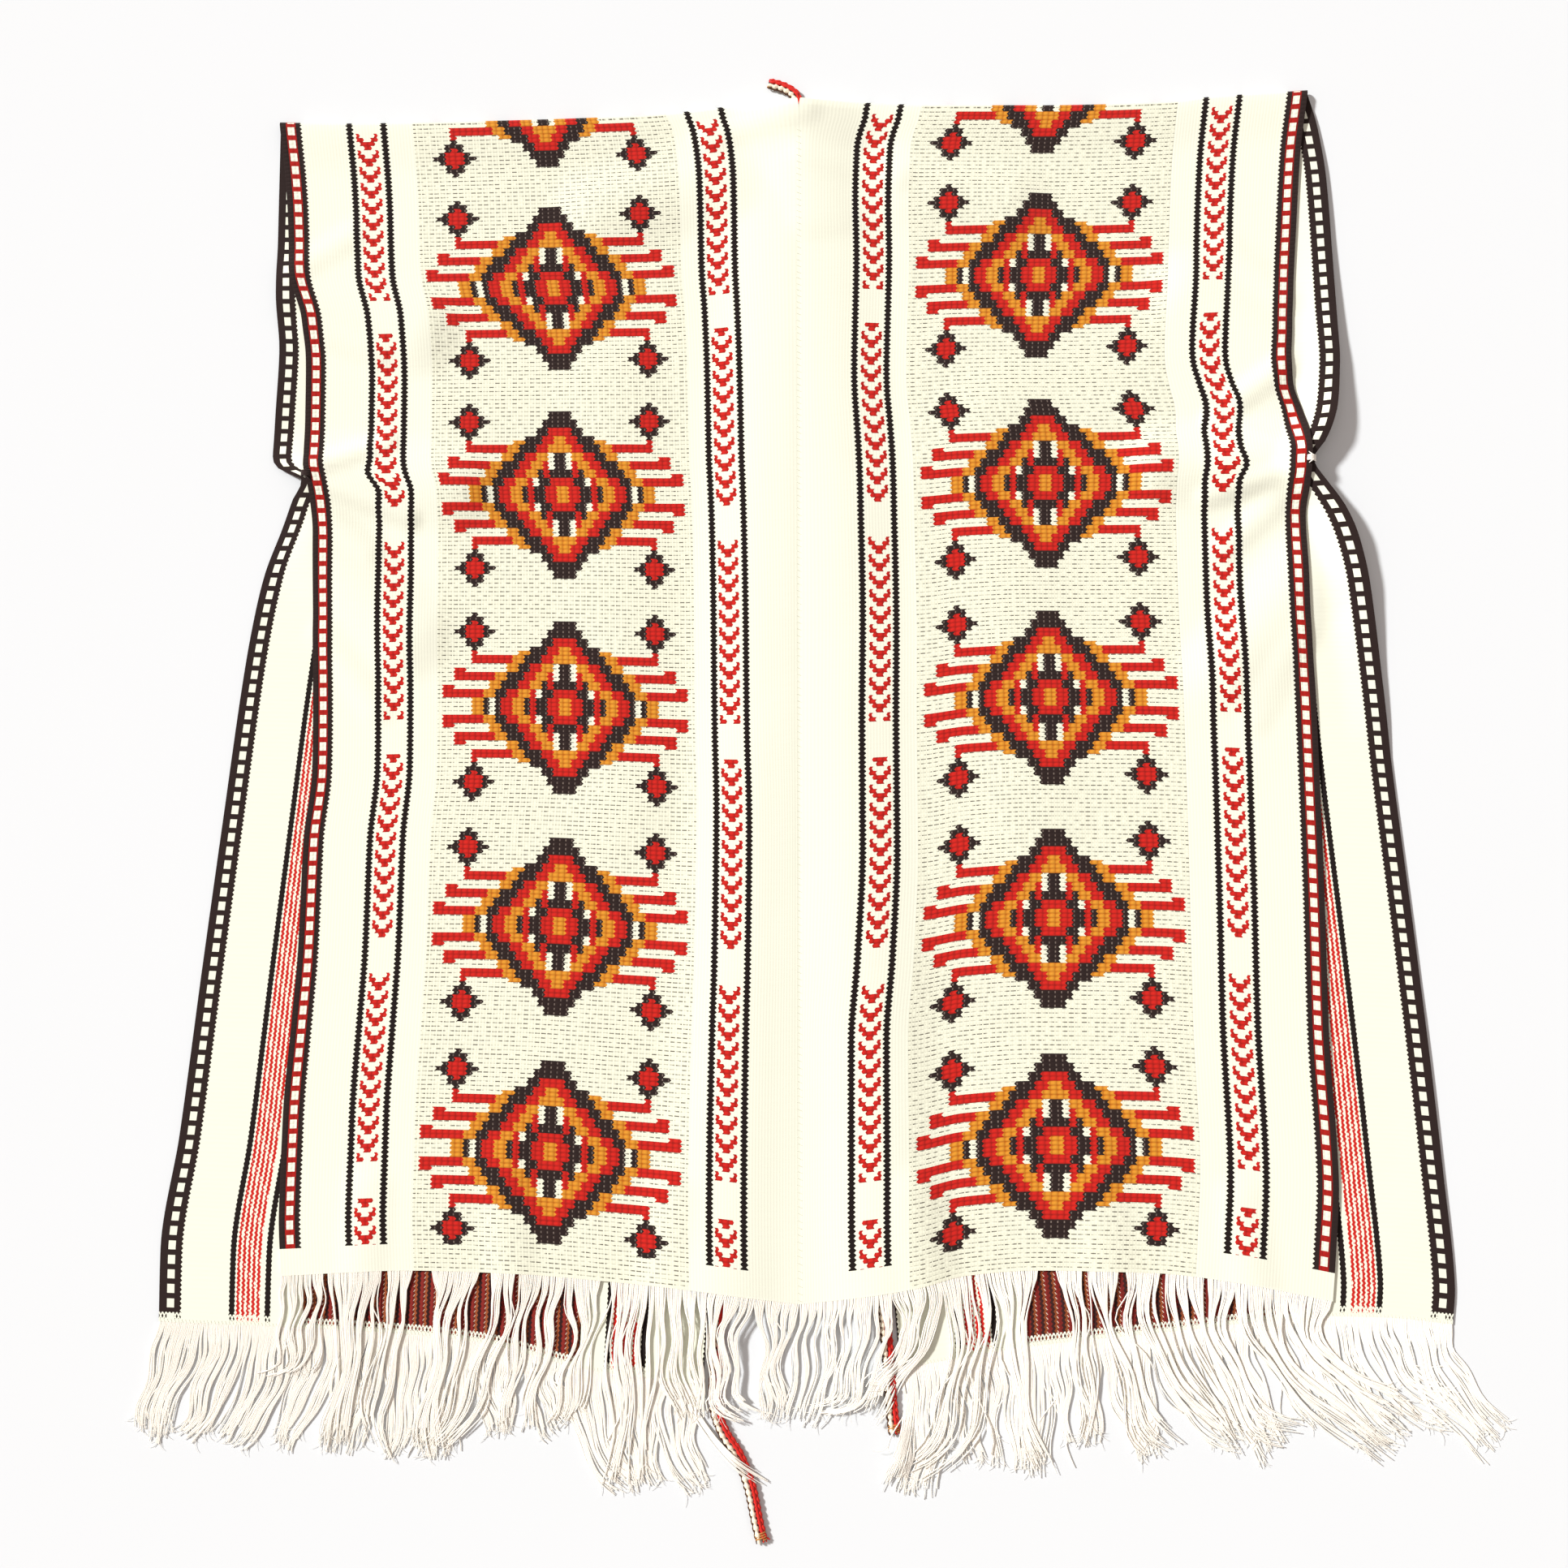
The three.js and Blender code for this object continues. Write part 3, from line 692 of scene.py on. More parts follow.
class Weave:
    """A cloth's paint, with places in millimetres across and along it and in rows of stitches."""

    def __init__(self, name):
        self.colours = bpy.context.scene.cape_colours
        sizes = bpy.context.scene.cape_sizes
        self.paint = Paint(name, roughness=0.9, sheen=0.15)
        self.uv = self.paint.node("ShaderNodeUVMap", {"uv_map": "cloth"}).outputs[0]
        parts = self.paint.node("ShaderNodeSeparateXYZ", None, {0: self.uv})
        self.across = Amount(self.paint, parts.outputs[0]) / MM
        self.down = Amount(self.paint, parts.outputs[1]) / MM
        self.column_width = sizes.stitch_width / MM
        self.row = self.down / (sizes.stitch_height / MM)
        self.in_row = self.row.fraction()
        self.ripple = abs(self.in_row - 0.5) * 2
        self.speck = self.paint.noise(1.0, detail=1.0, vector=self.uv, stretch=(62, 300, 1))

    def borders(self, wave, patterned):
        """Masks of the borders along both edges: the brown band, its blocks, bars and rims."""
        inset = self.paint.maths("MINIMUM", self.across, STRIP_WIDTH - self.across)
        band = (inset < self.ripple * wave + (BORDER - TOOTH)) & patterned
        middle = abs(inset - (BORDER / 2 + LADDER_SHIFT))
        rung = abs((self.down % LADDER_PITCH) - LADDER_PITCH / 2)
        blocks = (middle < BLOCK_HALF) & (rung < BLOCK_HALF_LENGTH)
        bars = (middle < BAR_HALF) & (rung > BLOCK_HALF_LENGTH)
        return band, blocks & band, bars & band, middle.within(*RIM) & band

    def lines(self, wave, half):
        """The dark lines, whose edges each row of stitches makes toothed."""
        reach = self.ripple * wave + half
        mask = abs(self.across - LINES[0]) < reach
        for at in LINES[1:]:
            mask = mask | (abs(self.across - at) < reach)
        return mask


def medallions(weave):
    """Masks of the red, ochre and dark stitches of the feathered medallions."""
    edge = weave.across + weave.ripple * EDGE_WAVE
    x = abs(((edge - MOTIF_MIDDLE) / weave.column_width).floor() + 0.5)
    y = abs(((weave.row - FIRST_ROW) % REPEAT).floor() - (REPEAT / 2 - 0.5))
    ring = x * 1.5 + (y / 2).floor() * 2 + 1
    flank = y < FEATHER_ROWS
    in_feather = (y - FEATHER_THICK) % FEATHER_PITCH
    feather_end = FEATHER_END - ((y - FEATHER_THICK) / FEATHER_PITCH).floor() * FEATHER_STEP
    beside = (ring > HALO[1] - 0.1) & flank
    feathers = beside & (in_feather < FEATHER_THICK) & (x < feather_end)
    turned_up = beside & in_feather.within(FEATHER_THICK, FEATHER_THICK + 1) & (y > FEATHER_PITCH)
    turned_up = turned_up & x.within(feather_end - 2, feather_end)
    small = abs(x - SMALL_AT[0]) * 1.5 + abs(y - SMALL_AT[1])
    ticks = ring.within(*TICKS)
    red = ring.within(*RED_RING) | ring.within(*EYE) | feathers | turned_up
    red = red | (small < SMALL_HEART) | (ticks & ((x % 3) > 2))
    ochre = ring.within(*INNER_RING) | (ring.within(*HALO) & flank) | ring.within(*HEART)
    notches = ring.within(*NOTCHES) & ((x % 4) < 1) & ((y % 8) < 2)
    dark = ring.within(*OUTLINE) | ring.within(*EYE_RIM) | small.within(*SMALL_RIM)
    return red, ochre, (dark | (ticks & ((x % 3) < 1))) & ~notches


def chevrons(weave):
    """Mask of the red chevrons between the lines, in groups with plain gaps."""
    mask = None
    for low, high in MARKS:
        off = abs(weave.across + weave.ripple - (low + high) / 2)
        beat = (weave.row.floor() + (off / CHEVRON_STEP).floor()) % CHEVRON_PITCH
        shown = (beat < 1.5) & (off < (high - low) / 2)
        mask = shown if mask is None else mask | shown
    return mask & (weave.row % REPEAT).within(*CHEVRON_ROWS)


def brocade_face():
    """The right side: ladder borders, sawtooth lines, red chevrons and feathered medallions."""
    weave = Weave("brocade face")
    paint, colours, ripple = weave.paint, weave.colours, weave.ripple
    ivory, brown = tuple(colours.ivory), tuple(colours.dark)
    hollow = abs((weave.across / weave.column_width).fraction() - 0.5) * 2
    patterned = weave.down < BACK_LENGTH - PLAIN_END

    # The ground: ivory, with grey dashes between the rows of the field.
    flecks = paint.noise(1.0, detail=0.0, vector=weave.uv, stretch=(210, 289.4, 1))
    in_field = weave.across.within(*FIELD)
    dash = in_field & (weave.in_row < 0.26) & (hollow < 0.8)
    field_tone = tuple(c * k for c, k in zip(ivory, (0.975, 0.97, 0.93)))
    ground = paint.over(ivory, field_tone, in_field)
    ground = paint.over(ground, DASH, dash * ((flecks - 0.32) * 3.6))

    # Every coloured stitch is rounded, with painted shade round its rim where it meets the next
    # stitches.
    red, ochre, dark = medallions(weave)
    red = red | chevrons(weave)
    lines = weave.lines(wave=1.9, half=1.45)
    # Painted shade: each ochre or red stitch darkens towards its rim, where the stitches meet.
    deep = (hollow * hollow * 0.55 + ripple * ripple * 0.6) * (weave.speck + 0.55)
    shaded_ochre_stitches = paint.over(tuple(colours.ochre), SHADED_OCHRE, deep)
    colour = paint.over(ground, shaded_ochre_stitches, ochre & patterned)
    shaded_red_stitches = paint.over(tuple(colours.red), shade(colours.red, 0.5), deep)
    colour = paint.over(colour, shaded_red_stitches, red & patterned)
    spots = (hollow > 0.8) & weave.in_row.within(0.3, 0.75)
    spotted = paint.over(brown, PALE_SPOT, spots * (flecks + 0.25))
    colour = paint.over(colour, spotted, dark & patterned)
    colour = paint.over(colour, shade(brown, 0.5), lines & patterned)
    band, blocks, bars, rims = weave.borders(wave=EDGE_WAVE, patterned=patterned)
    colour = paint.over(colour, brown, band)
    colour = paint.over(colour, shade(colours.red, 0.36), rims)
    colour = paint.over(colour, shade(colours.red, 0.62), bars)
    colour = paint.over(colour, ivory, blocks)

    raised = (red | ochre | dark | lines) & patterned
    rib = (weave.across * (2 * math.pi / FACE_RIB)).sine()
    stitch = (1 - hollow * hollow) * (1 - ripple * ripple)
    plain = (1 - raised) * (rib * 0.06 + in_field * (1 - ripple) * 0.3)
    height = (raised | band) * (stitch * 0.8 + 0.4) + plain + weave.speck * 0.2
    return paint.finish(colour, height, depth=0.0006, strength=0.6)


def brocade_reverse():
    """The wrong side: the colours' loose threads run lengthwise."""
    weave = Weave("brocade reverse")
    paint, colours, ripple = weave.paint, weave.colours, weave.ripple
    ivory, brown = tuple(colours.ivory), tuple(colours.dark)
    wavy = weave.across + ripple * 1.1
    from_hem = weave.down + FRONT_LENGTH
    patterned = from_hem > 2.5
    colour = ivory

    # Five red threads between each pair of lines, thinner where the chevrons took them.
    for low, high in MARKS:
        first, last = low - THREAD_MARGIN, high + THREAD_MARGIN
        lane = ((wavy - first) / ((last - first) / 5)).fraction()
        broken = ((weave.row + (weave.across / 4).floor() * 2) % 7) < 1.6
        threads = (lane < 0.6 - 0.2 * broken) & wavy.within(first, last) & patterned
        colour = paint.over(colour, shade(colours.red, 0.92), threads)
    lines = weave.lines(wave=0.8, half=1.7)
    colour = paint.over(colour, shade(brown, 0.5), lines & patterned)

    # The field's threads: brown and dull red cords with light stitches between.
    lane = ((wavy - FIELD[0]) / CORD_PITCH).fraction()
    in_field = weave.across.within(FIELD[0] + 4, FIELD[1] - 4) & patterned
    cords = paint.over(REVERSE_BROWN, REVERSE_RED, lane.within(0.12, 0.50))
    cords = paint.over(cords, REVERSE_TAN, lane.within(0.58, 0.82))
    cords = paint.over(cords, REVERSE_LIGHT, lane.within(0.50, 0.58) & (weave.in_row < 0.5))
    colour = paint.over(colour, cords, in_field)

    # Borders, without the face's red bars.
    band, blocks, _, _ = weave.borders(wave=1.4, patterned=patterned)
    colour = paint.over(colour, brown, band)
    colour = paint.over(colour, ivory, blocks)

    # White cross stitches along the front hem.
    slant = abs((weave.across / CROSS_PITCH).fraction() - 0.5) * 2
    rise = (from_hem - CROSS_ROWS[0]) / (CROSS_ROWS[1] - CROSS_ROWS[0])
    cross = (abs(slant - rise) < 0.19) | (abs(1 - slant - rise) < 0.19)
    colour = paint.over(colour, ivory, cross & from_hem.within(*CROSS_ROWS))
    rib = (weave.across * (2 * math.pi * 2 / CORD_PITCH)).sine()
    height = in_field * rib * 0.5 + (1 - ripple) * (0.12 + in_field * 0.3) + weave.speck * 0.3
    return paint.finish(colour, height, depth=0.0006, strength=0.55)


def yarn_paint(name, colour, variation=0.12):
    """Twisted yarn: a plain colour with faint plies and slight unevenness."""
    if name in bpy.data.materials:
        return bpy.data.materials[name]
    paint = Paint(name, roughness=0.85, sheen=0.2)
    fine = paint.noise(900)
    broad = paint.noise(60)
    share = (fine * 0.6 + broad * 0.6 - 0.35) * variation * 3
    deep = tuple(c * k for c, k in zip(colour, (0.72, 0.68, 0.64)))
    mixed = paint.over(tuple(colour), deep, share)
    return paint.finish(mixed, fine, depth=0.0003, strength=0.5)


# Pieces.


def add_piece(name, mesh, slot, *nodes):
    """Puts a finished mesh in the scene, riding on the cape and standing for CAD nodes."""
    piece = bpy.data.objects.new(name, mesh)
    bpy.context.scene.collection.objects.link(piece)
    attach(piece, "root")
    if nodes:
        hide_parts(*nodes)
    return piece


def yarns_to_mesh(name, runs, materials, thickness, resolution=0):
    """One mesh of many yarns. A run is (points, thickness shares, material number)."""
    curve = bpy.data.curves.new(name, "CURVE")
    curve.dimensions = "3D"
    curve.bevel_depth = thickness / 2 * MM
    curve.bevel_resolution = resolution
    curve.use_fill_caps = True
    for material in materials:
        curve.materials.append(material)
    for points, shares, material in runs:
        spline = curve.splines.new("POLY")
        spline.points.add(len(points) - 1)
        for knot, point, share in zip(spline.points, points, shares):
            knot.co = (*place(*point), 1)
            knot.radius = share
        spline.material_index = material
        spline.use_smooth = True
    holder = bpy.data.objects.new(name, curve)
    bpy.context.scene.collection.objects.link(holder)
    bpy.context.view_layer.update()
    depsgraph = bpy.context.evaluated_depsgraph_get()
    mesh = bpy.data.meshes.new_from_object(holder.evaluated_get(depsgraph))
    bpy.data.objects.remove(holder)
    bpy.data.curves.remove(curve)
    mesh.name = name
    return mesh


def strip_mesh(name, side):
    """One strip's middle surface, with its weave's coordinates in the UV map."""
    sizes = bpy.context.scene.cape_sizes
    rows = sizes.cloth_rows
    total = 2 * rows + FOLD_STEPS
    sheet = bmesh.new()
    weave = sheet.loops.layers.uv.new("cloth")
    bmesh.ops.create_grid(sheet, x_segments=sizes.cloth_columns, y_segments=total, size=0.5)
    start = {}

    def spot(s, w):
        """Place and weave coordinates of a point, w running from the front hem to the back hem."""
        step = w * total
        if step <= rows:
            t = 1 - step / rows
            x, y, from_fold = plan(side, side["front"], s, t)
            z = level(side, side["front"], x, y, from_fold)
            width = BACK_WIDTH + FRONT_SLIVER * ease(from_fold / 60)
            return place(x, y, z), (s * width * MM, -t * FRONT_LENGTH * MM)
        if step >= rows + FOLD_STEPS:
            t = (step - rows - FOLD_STEPS) / rows
            x, y, from_fold = plan(side, side["back"], s, t)
            z = level(side, side["back"], x, y, from_fold)
            return place(x, y, z), (s * BACK_WIDTH * MM, t * BACK_LENGTH * MM)
        if s not in start:
            x, y, _ = plan(side, side["front"], s, 0)
            low = level(side, side["front"], x, y, 0)
            high = level(side, side["back"], x, y, 0)
            start[s] = (x, plan(side, side["back"], s, 0)[0], y, low, high)
        x, x_back, y, low, high = start[s]
        share = (step - rows) / FOLD_STEPS
        x = mix(x, x_back, ease(share))
        angle = math.pi * share
        z = low + (high - low) * (1 - math.cos(angle)) / 2
        point = place(x, y + FOLD_RADIUS * math.sin(angle), z)
        return point, (s * BACK_WIDTH * MM, (share - 0.5) * math.pi * FOLD_RADIUS * MM)

    spots = {}
    for vert in sheet.verts:
        s = min(max(vert.co.x + 0.5, 0), 1)
        w = min(max(vert.co.y + 0.5, 0), 1)
        spots[vert] = spot(round(s, 6), w)
    for face in sheet.faces:
        for loop in face.loops:
            loop[weave].uv = spots[loop.vert][1]
        face.smooth = True
    for vert, (point, _) in spots.items():
        vert.co = point
    for edge in sheet.edges:
        edge.smooth = not edge.is_boundary
    if side is LEFT:
        bmesh.ops.reverse_faces(sheet, faces=sheet.faces)
    mesh = bpy.data.meshes.new(name)
    sheet.to_mesh(mesh)
    sheet.free()
    return mesh


def hem_point(side, layer, s):
    """A point of a hem, the way out from it in plan, and its cloth's level."""
    x, y, from_fold = plan(side, layer, s, 1)
    ax, ay, _ = plan(side, layer, max(0, s - 0.002), 1)
    bx, by, _ = plan(side, layer, min(1, s + 0.002), 1)
    out = Vector((by - ay, ax - bx)).normalized()
    if out.y > 0:
        out.negate()
    return Vector((x, y)), out, level(side, layer, x, y, from_fold)


def beside_partings(x, partings):
    """How far a parting pushes a yarn rooted at x aside, or None where it has no yarn."""
    push = 0
    for centre, half in partings:
        gap = x - centre
        if abs(gap) < half * 0.6:
            return None
        if abs(gap) < half * 1.4:
            push = math.copysign(half * 1.4 - abs(gap), gap) * 0.6
    return push


def lock_shapes(count, fall, chance):
    """How each lock of a fringe bows, hooks, narrows and rises, drawn by chance."""
    return [
        {
            "bow": chance.uniform(-7, 7),
            "turn": chance.uniform(0.62, 0.85),
            "hook": chance.gauss(0, fall["hook"]),
            "width": chance.uniform(*fall["width"]),
            "height": chance.uniform(0, 0.6),
            "early": fall["early"] > 0 and chance.random() < fall["early"],
        }
        for _ in range(count)
    ]


def under_yarn(spot, t, layer_name):
    """Height of what a yarn lies on, t being how far along its way from the hem."""
    if layer_name == "front":
        return ridge(spot.x, spot.y, *TIE_END_HUMP)
    tie = tie_lift(spot.x, spot.y)
    cloth = BACK_Z + fold_lift(spot.x, spot.y) + tie - CLOTH / 2
    if OPEN_FRONT[0] < spot.x < OPEN_FRONT[1]:
        return mix(cloth, 0.4 + tie * 1.15, ease(t * 1.6))
    return mix(cloth, FRONT_FRINGE_TOP, ease((t - 0.35) * 2))


def fringe_runs(side, layer_name, node, count, chance):
    """The yarns of one hem, which leave it side by side, drift into bunches and end in locks."""
    layer = side[layer_name]
    fall = FALL[layer_name]
    tips = LOCKS[node]
    partings = PARTINGS.get(node, [])
    runs = []
    along_hem = 1 if side is LEFT else -1
    seed = chance.uniform(0, 50)
    locks = lock_shapes(len(tips), fall, chance)
    bunches = {}
    for i in range(count):
        s = min(max((i + 0.5 + chance.uniform(-0.4, 0.4)) / count, 0.002), 0.998)
        lock = min(int(s * len(tips)), len(tips) - 1)
        shape = locks[lock]
        tip = Vector(tips[lock])
        middle, out, _ = hem_point(side, layer, (lock + 0.5) / len(tips))
        root, root_out, z_root = hem_point(side, layer, s)
        z_root += CLOTH / 2 - 0.45
        push = beside_partings(root.x, partings)
        if push is None:
            continue
        across = Vector((-out.y, out.x))
        if across.x * along_hem < 0:
            across.negate()
        start = (root - middle).dot(across)
        bunch = int(s * count / fall["bunch"] + 0.6 * noise.noise(Vector((s * 60, seed, 0))))
        if bunch not in bunches:
            bunches[bunch] = (chance.uniform(-2.2, 2.2), chance.uniform(0, 0.5), chance.gauss(0, 2.8))
        lean, height, drift = bunches[bunch]
        bunch_share = (bunch + 0.5) * fall["bunch"] / count
        bunch_middle = (bunch_share * len(tips) - lock - 0.5) * HEM_WIDTH / len(tips)
        gathered = mix(start, bunch_middle, fall["gather"]) + lean * fall["lean"]
        stray = STRAY_REACH if chance.random() < STRAY_CHANCE else 1.0
        ending = (gathered * shape["width"] + drift * 0.8 + chance.gauss(0, 1.4)) * stray
        control = middle + out * (tip - middle).length * 0.48 + across * shape["bow"]
        stop = chance.uniform(0.84, 1.02) if stray == 1 else chance.uniform(0.7, 0.98)
        loose = chance.uniform(-1, 1)
        curl = shape["hook"] + chance.gauss(0, 1.6)
        phase = chance.uniform(-0.4, 0.4)
        points = []
        shares = []
        for k in range(YARN_STEPS):
            t = stop * k / (YARN_STEPS - 1)
            a, b = middle.lerp(control, t), control.lerp(tip, t)
            way = (b - a).normalized()
            beside = Vector((-way.y, way.x))
            if beside.dot(across) < 0:
                beside.negate()
            off = mix(start, gathered, ease(t * 3.2))
            if shape["early"]:
                off = mix(off, start * 0.42 + lean, ease((t - 0.04) * 2.6))
            off = mix(off, ending, ease((t - 0.3) / 0.75))
            off += push * along_hem * ease(t * 8) * (1 - ease((t - 0.4) * 2.2))
            flow = fall["flow"] * noise.noise(Vector((root.x / 34, t * 2.3 + seed, seed)))
            ripple = fall["ripple"] * math.sin(t * 12 + root.x / 12 + seed + phase)
            sway = (flow + ripple + loose * 1.5 * t) * ease(t * 3.4) * stray
            tail = max(0, t - shape["turn"]) / (1 - shape["turn"])
            spot = a.lerp(b, t) + beside * (off + sway + curl * tail * tail)
            if k == 0:
                spot = root - root_out * 1.5
            piled = 0.7 + (height + shape["height"]) * (1 - 0.45 * t)
            z = mix(z_root, under_yarn(spot, t, layer_name) + piled, ease(t * 3))
            points.append((spot.x, spot.y, z))
            shares.append(chance.uniform(0.88, 1.1) * mix(1, 0.62, ease((t - 0.78) / 0.22)))
        runs.append((points, shares, 0))
        if chance.random() < FRAY_CHANCE:
            runs += frayed_end(points, chance)
    return runs


def wisp_runs(start, tip, over, count, chance):
    """A few yarns that stray from a lock's root across a tie, climbing over it."""
    runs = []
    root, middle, end = Vector(start), Vector(over), Vector(tip)
    tie_x, breadth, height = LEFT_TIE_RISE
    for _ in range(count):
        spread = Vector((chance.gauss(0, 3.2), chance.gauss(0, 2.2)))
        length = chance.uniform(0.8, 1.0)
        points = []
        for k in range(13):
            t = length * k / 12
            spot = root.lerp(middle, t).lerp(middle.lerp(end, t), t) + spread * (0.3 + 0.7 * t)
            rise = height * math.exp(-(((spot.x - tie_x) / breadth) ** 2))
            rise += ridge(spot.x, spot.y, *TIE_END_HUMP)
            points.append((spot.x, spot.y, FRONT_FRINGE_TOP + rise + chance.uniform(0, 0.3)))
        runs.append((points, [1.0] * 10 + [0.85, 0.7, 0.5], 0))
    return runs


def frayed_end(points, chance):
    """Two fine plies that part at a yarn's end."""
    end, before = Vector(points[-2]), Vector(points[-5])
    way = (end - before).normalized()
    plies = []
    for side in (-1, 1):
        turn = side * chance.uniform(0.1, 0.5)
        length = chance.uniform(6, 13)
        bent = []
        for k in range(5):
            angle = turn * k / 2.2
            step = length * k / 4
            x = way.x * math.cos(angle) - way.y * math.sin(angle)
            y = way.x * math.sin(angle) + way.y * math.cos(angle)
            bent.append((end.x + x * step, end.y + y * step, max(0.4, end.z + way.z * step)))
        plies.append((bent, [0.42, 0.4, 0.36, 0.3, 0.22], 0))
    return plies


class CAPE_OT_stage(bpy.types.Operator):
    """Set up the camera, the lights and the pale floor"""

    bl_idname = "cape.stage"
    bl_label = "Stage"

    def execute(self, context):
        stage = context.scene.cape_stage
        aim = place(0, 0, 0)
        camera = bpy.data.cameras.new("camera")
        camera.angle = stage.view_angle
        camera.clip_end = 20
        eye = bpy.data.objects.new("camera", camera)
        back = Vector((0, -math.sin(stage.tilt), math.cos(stage.tilt)))
        eye.location = aim + back * stage.distance
        eye.rotation_euler = (stage.tilt, 0, 0)
        context.scene.collection.objects.link(eye)
        context.scene.camera = eye

        floor = bmesh.new()
        bmesh.ops.create_grid(floor, x_segments=4, y_segments=4, size=4.0)
        mesh = bpy.data.meshes.new("floor")
        floor.to_mesh(mesh)
        floor.free()
        slab = bpy.data.objects.new("floor", mesh)
        paint = Paint("pale floor", roughness=0.9)
        mesh.materials.append(paint.finish(paint.over(*FLOOR_TONES, paint.noise(3.0))))
        context.scene.collection.objects.link(slab)

        for name, kind, spot, size, power, tint in LAMPS:
            light = bpy.data.lights.new(name, kind)
            if kind == "SUN":
                light.angle = size
            else:
                light.size = size
            light.energy = power
            light.color = tint
            lamp = bpy.data.objects.new(name, light)
            lamp.location = spot
            lamp.rotation_mode = "QUATERNION"
            lamp.rotation_quaternion = (aim - Vector(spot)).to_track_quat("-Z", "Y")
            context.scene.collection.objects.link(lamp)
        context.scene.view_settings.view_transform = "Standard"
        world = bpy.data.worlds.new("studio")
        world.use_nodes = True
        background = world.node_tree.nodes["Background"]
        background.inputs["Color"].default_value = SKY_TINT
        background.inputs["Strength"].default_value = SKY_POWER
        context.scene.world = world
        return {"FINISHED"}


class CAPE_OT_ties(bpy.types.Operator):
    """Braid the two neck ties"""

    bl_idname = "cape.ties"
    bl_label = "Ties"

    def execute(self, context):
        materials = [yarn_paint(f"{name} braid yarn", colour) for name, colour in BRAID_COLOURS]
        for side_name, route in (("left", LEFT_TIE), ("right", RIGHT_TIE)):
            name = side_name + "_braid"
            line = self.centre_line(route, BRAID_STEP)
            runs = []
            for across, up, thickness, depth, material in BRAID_STRANDS:
                points = []
                shares = []
                walked = 0
                for k, here in enumerate(line):
                    before, after = line[max(k - 1, 0)], line[min(k + 1, len(line) - 1)]
                    way = (after - before).normalized()
                    walked += (here - line[k - 1]).length if k else 0
                    turn = 2 * math.pi * walked / BRAID_BEAD + across
                    shift = across + BRAID_SWING * math.sin(turn)
                    z = TIE_CENTRE_Z + up + BRAID_RISE * math.cos(turn)
                    points.append((here.x - way.y * shift, here.y + way.x * shift, z))
                    taper = min(1, 0.45 + 0.25 * min(k, len(line) - 1 - k))
                    shares.append(thickness * (1 + depth * math.cos(turn)) * taper)
                runs.append((points, shares, material))
            runs += self.end_wrap(line)
            mesh = yarns_to_mesh(name, runs, materials, BRAID_YARN, 1)
            piece = add_piece(name, mesh, "braid", "tie_" + side_name)
        return {"FINISHED"}

    def centre_line(self, route, step):
        """The route as a smooth line of evenly spaced points."""
        knots = [Vector(p) for p in route]
        knots = [knots[0] * 2 - knots[1], *knots, knots[-1] * 2 - knots[-2]]
        fine = []
        for a, b, c, d in zip(knots, knots[1:], knots[2:], knots[3:]):
            parts = max(2, int((c - b).length / step))
            for k in range(parts):
                fine.append(self.through(a, b, c, d, k / parts))
        fine.append(knots[-2])
        return fine

    def through(self, a, b, c, d, t):
        """A centripetal curve's point between b and c."""
        times = [0]
        for p, q in ((a, b), (b, c), (c, d)):
            times.append(times[-1] + max((q - p).length, 1e-6) ** 0.5)
        t = mix(times[1], times[2], t)

        def blend(p, q, i, j):
            return p.lerp(q, (t - times[i]) / (times[j] - times[i]))

        ab, bc, cd = blend(a, b, 0, 1), blend(b, c, 1, 2), blend(c, d, 2, 3)
        return blend(blend(ab, bc, 0, 2), blend(bc, cd, 1, 3), 1, 2)

    def end_wrap(self, line):
        """A few turns of gold yarn that bind the loose end, and a short red stub beside it."""
        end, before = line[-3], line[-7]
        way = (end - before).normalized()
        beside = Vector((-way.y, way.x))
        turns = 3.2
        points = []
        for k in range(48):
            angle = 2 * math.pi * turns * k / 47
            spot = end + way * (1.7 * turns * k / 47 - 4) + beside * 4.1 * math.cos(angle)
            points.append((spot.x, spot.y, TIE_CENTRE_Z + 2.0 * math.sin(angle)))
        stub = []
        for k in range(6):
            spot = end + way * (0.8 * k - 1.5) + beside * (1.5 + 0.95 * k)
            stub.append((spot.x, spot.y, TIE_CENTRE_Z + 0.6 - 0.25 * k))
        return [(points, [0.46] * 48, 3), (stub, [0.7, 0.75, 0.7, 0.65, 0.55, 0.4], 2)]


class CAPE_OT_strips(bpy.types.Operator):
    """Weave the two strips and fold them over the shoulders"""

    bl_idname = "cape.strips"
    bl_label = "Strips"

    def execute(self, context):
        materials = (brocade_face(), brocade_reverse())
        for side_name, side in SIDES.items():
            name = side_name + "_brocade"
            mesh = strip_mesh(name, side)
            for material in materials:
                mesh.materials.append(material)
            piece = add_piece(name, mesh, "brocade", side_name + "_strip")
            wall = piece.modifiers.new("thickness", "SOLIDIFY")
            wall.thickness = CLOTH * MM
            wall.offset = 0
            wall.material_offset = 1
        return {"FINISHED"}


class CAPE_OT_fringes(bpy.types.Operator):
    """Lay out the loose yarns of the four hems"""

    bl_idname = "cape.fringes"
    bl_label = "Fringes"

    def execute(self, context):
        sizes = context.scene.cape_sizes
        yarn = yarn_paint("fringe yarn", context.scene.cape_colours.fringe)
        ends = [(layer, side) for layer in FALL for side in SIDES]
        for (layer, side_name), seed in zip(ends, FRINGE_SEEDS):
            node = f"fringe_{layer}_{side_name}"
            side = SIDES[side_name]
            count = int(sizes.yarns * FALL[layer]["yarns"])
            runs = fringe_runs(side, layer, node, count, random.Random(seed))
            if node in WISPS:
                tip, over, count, share = WISPS[node]
                root = hem_point(side, side[layer], share)[0]
                runs += wisp_runs(root, tip, over, count, random.Random(3))
            name = f"{layer}_{side_name}_yarns"
            mesh = yarns_to_mesh(name, runs, [yarn], sizes.yarn_thickness / MM)
            add_piece(name, mesh, "fringe_yarn", node)
        return {"FINISHED"}


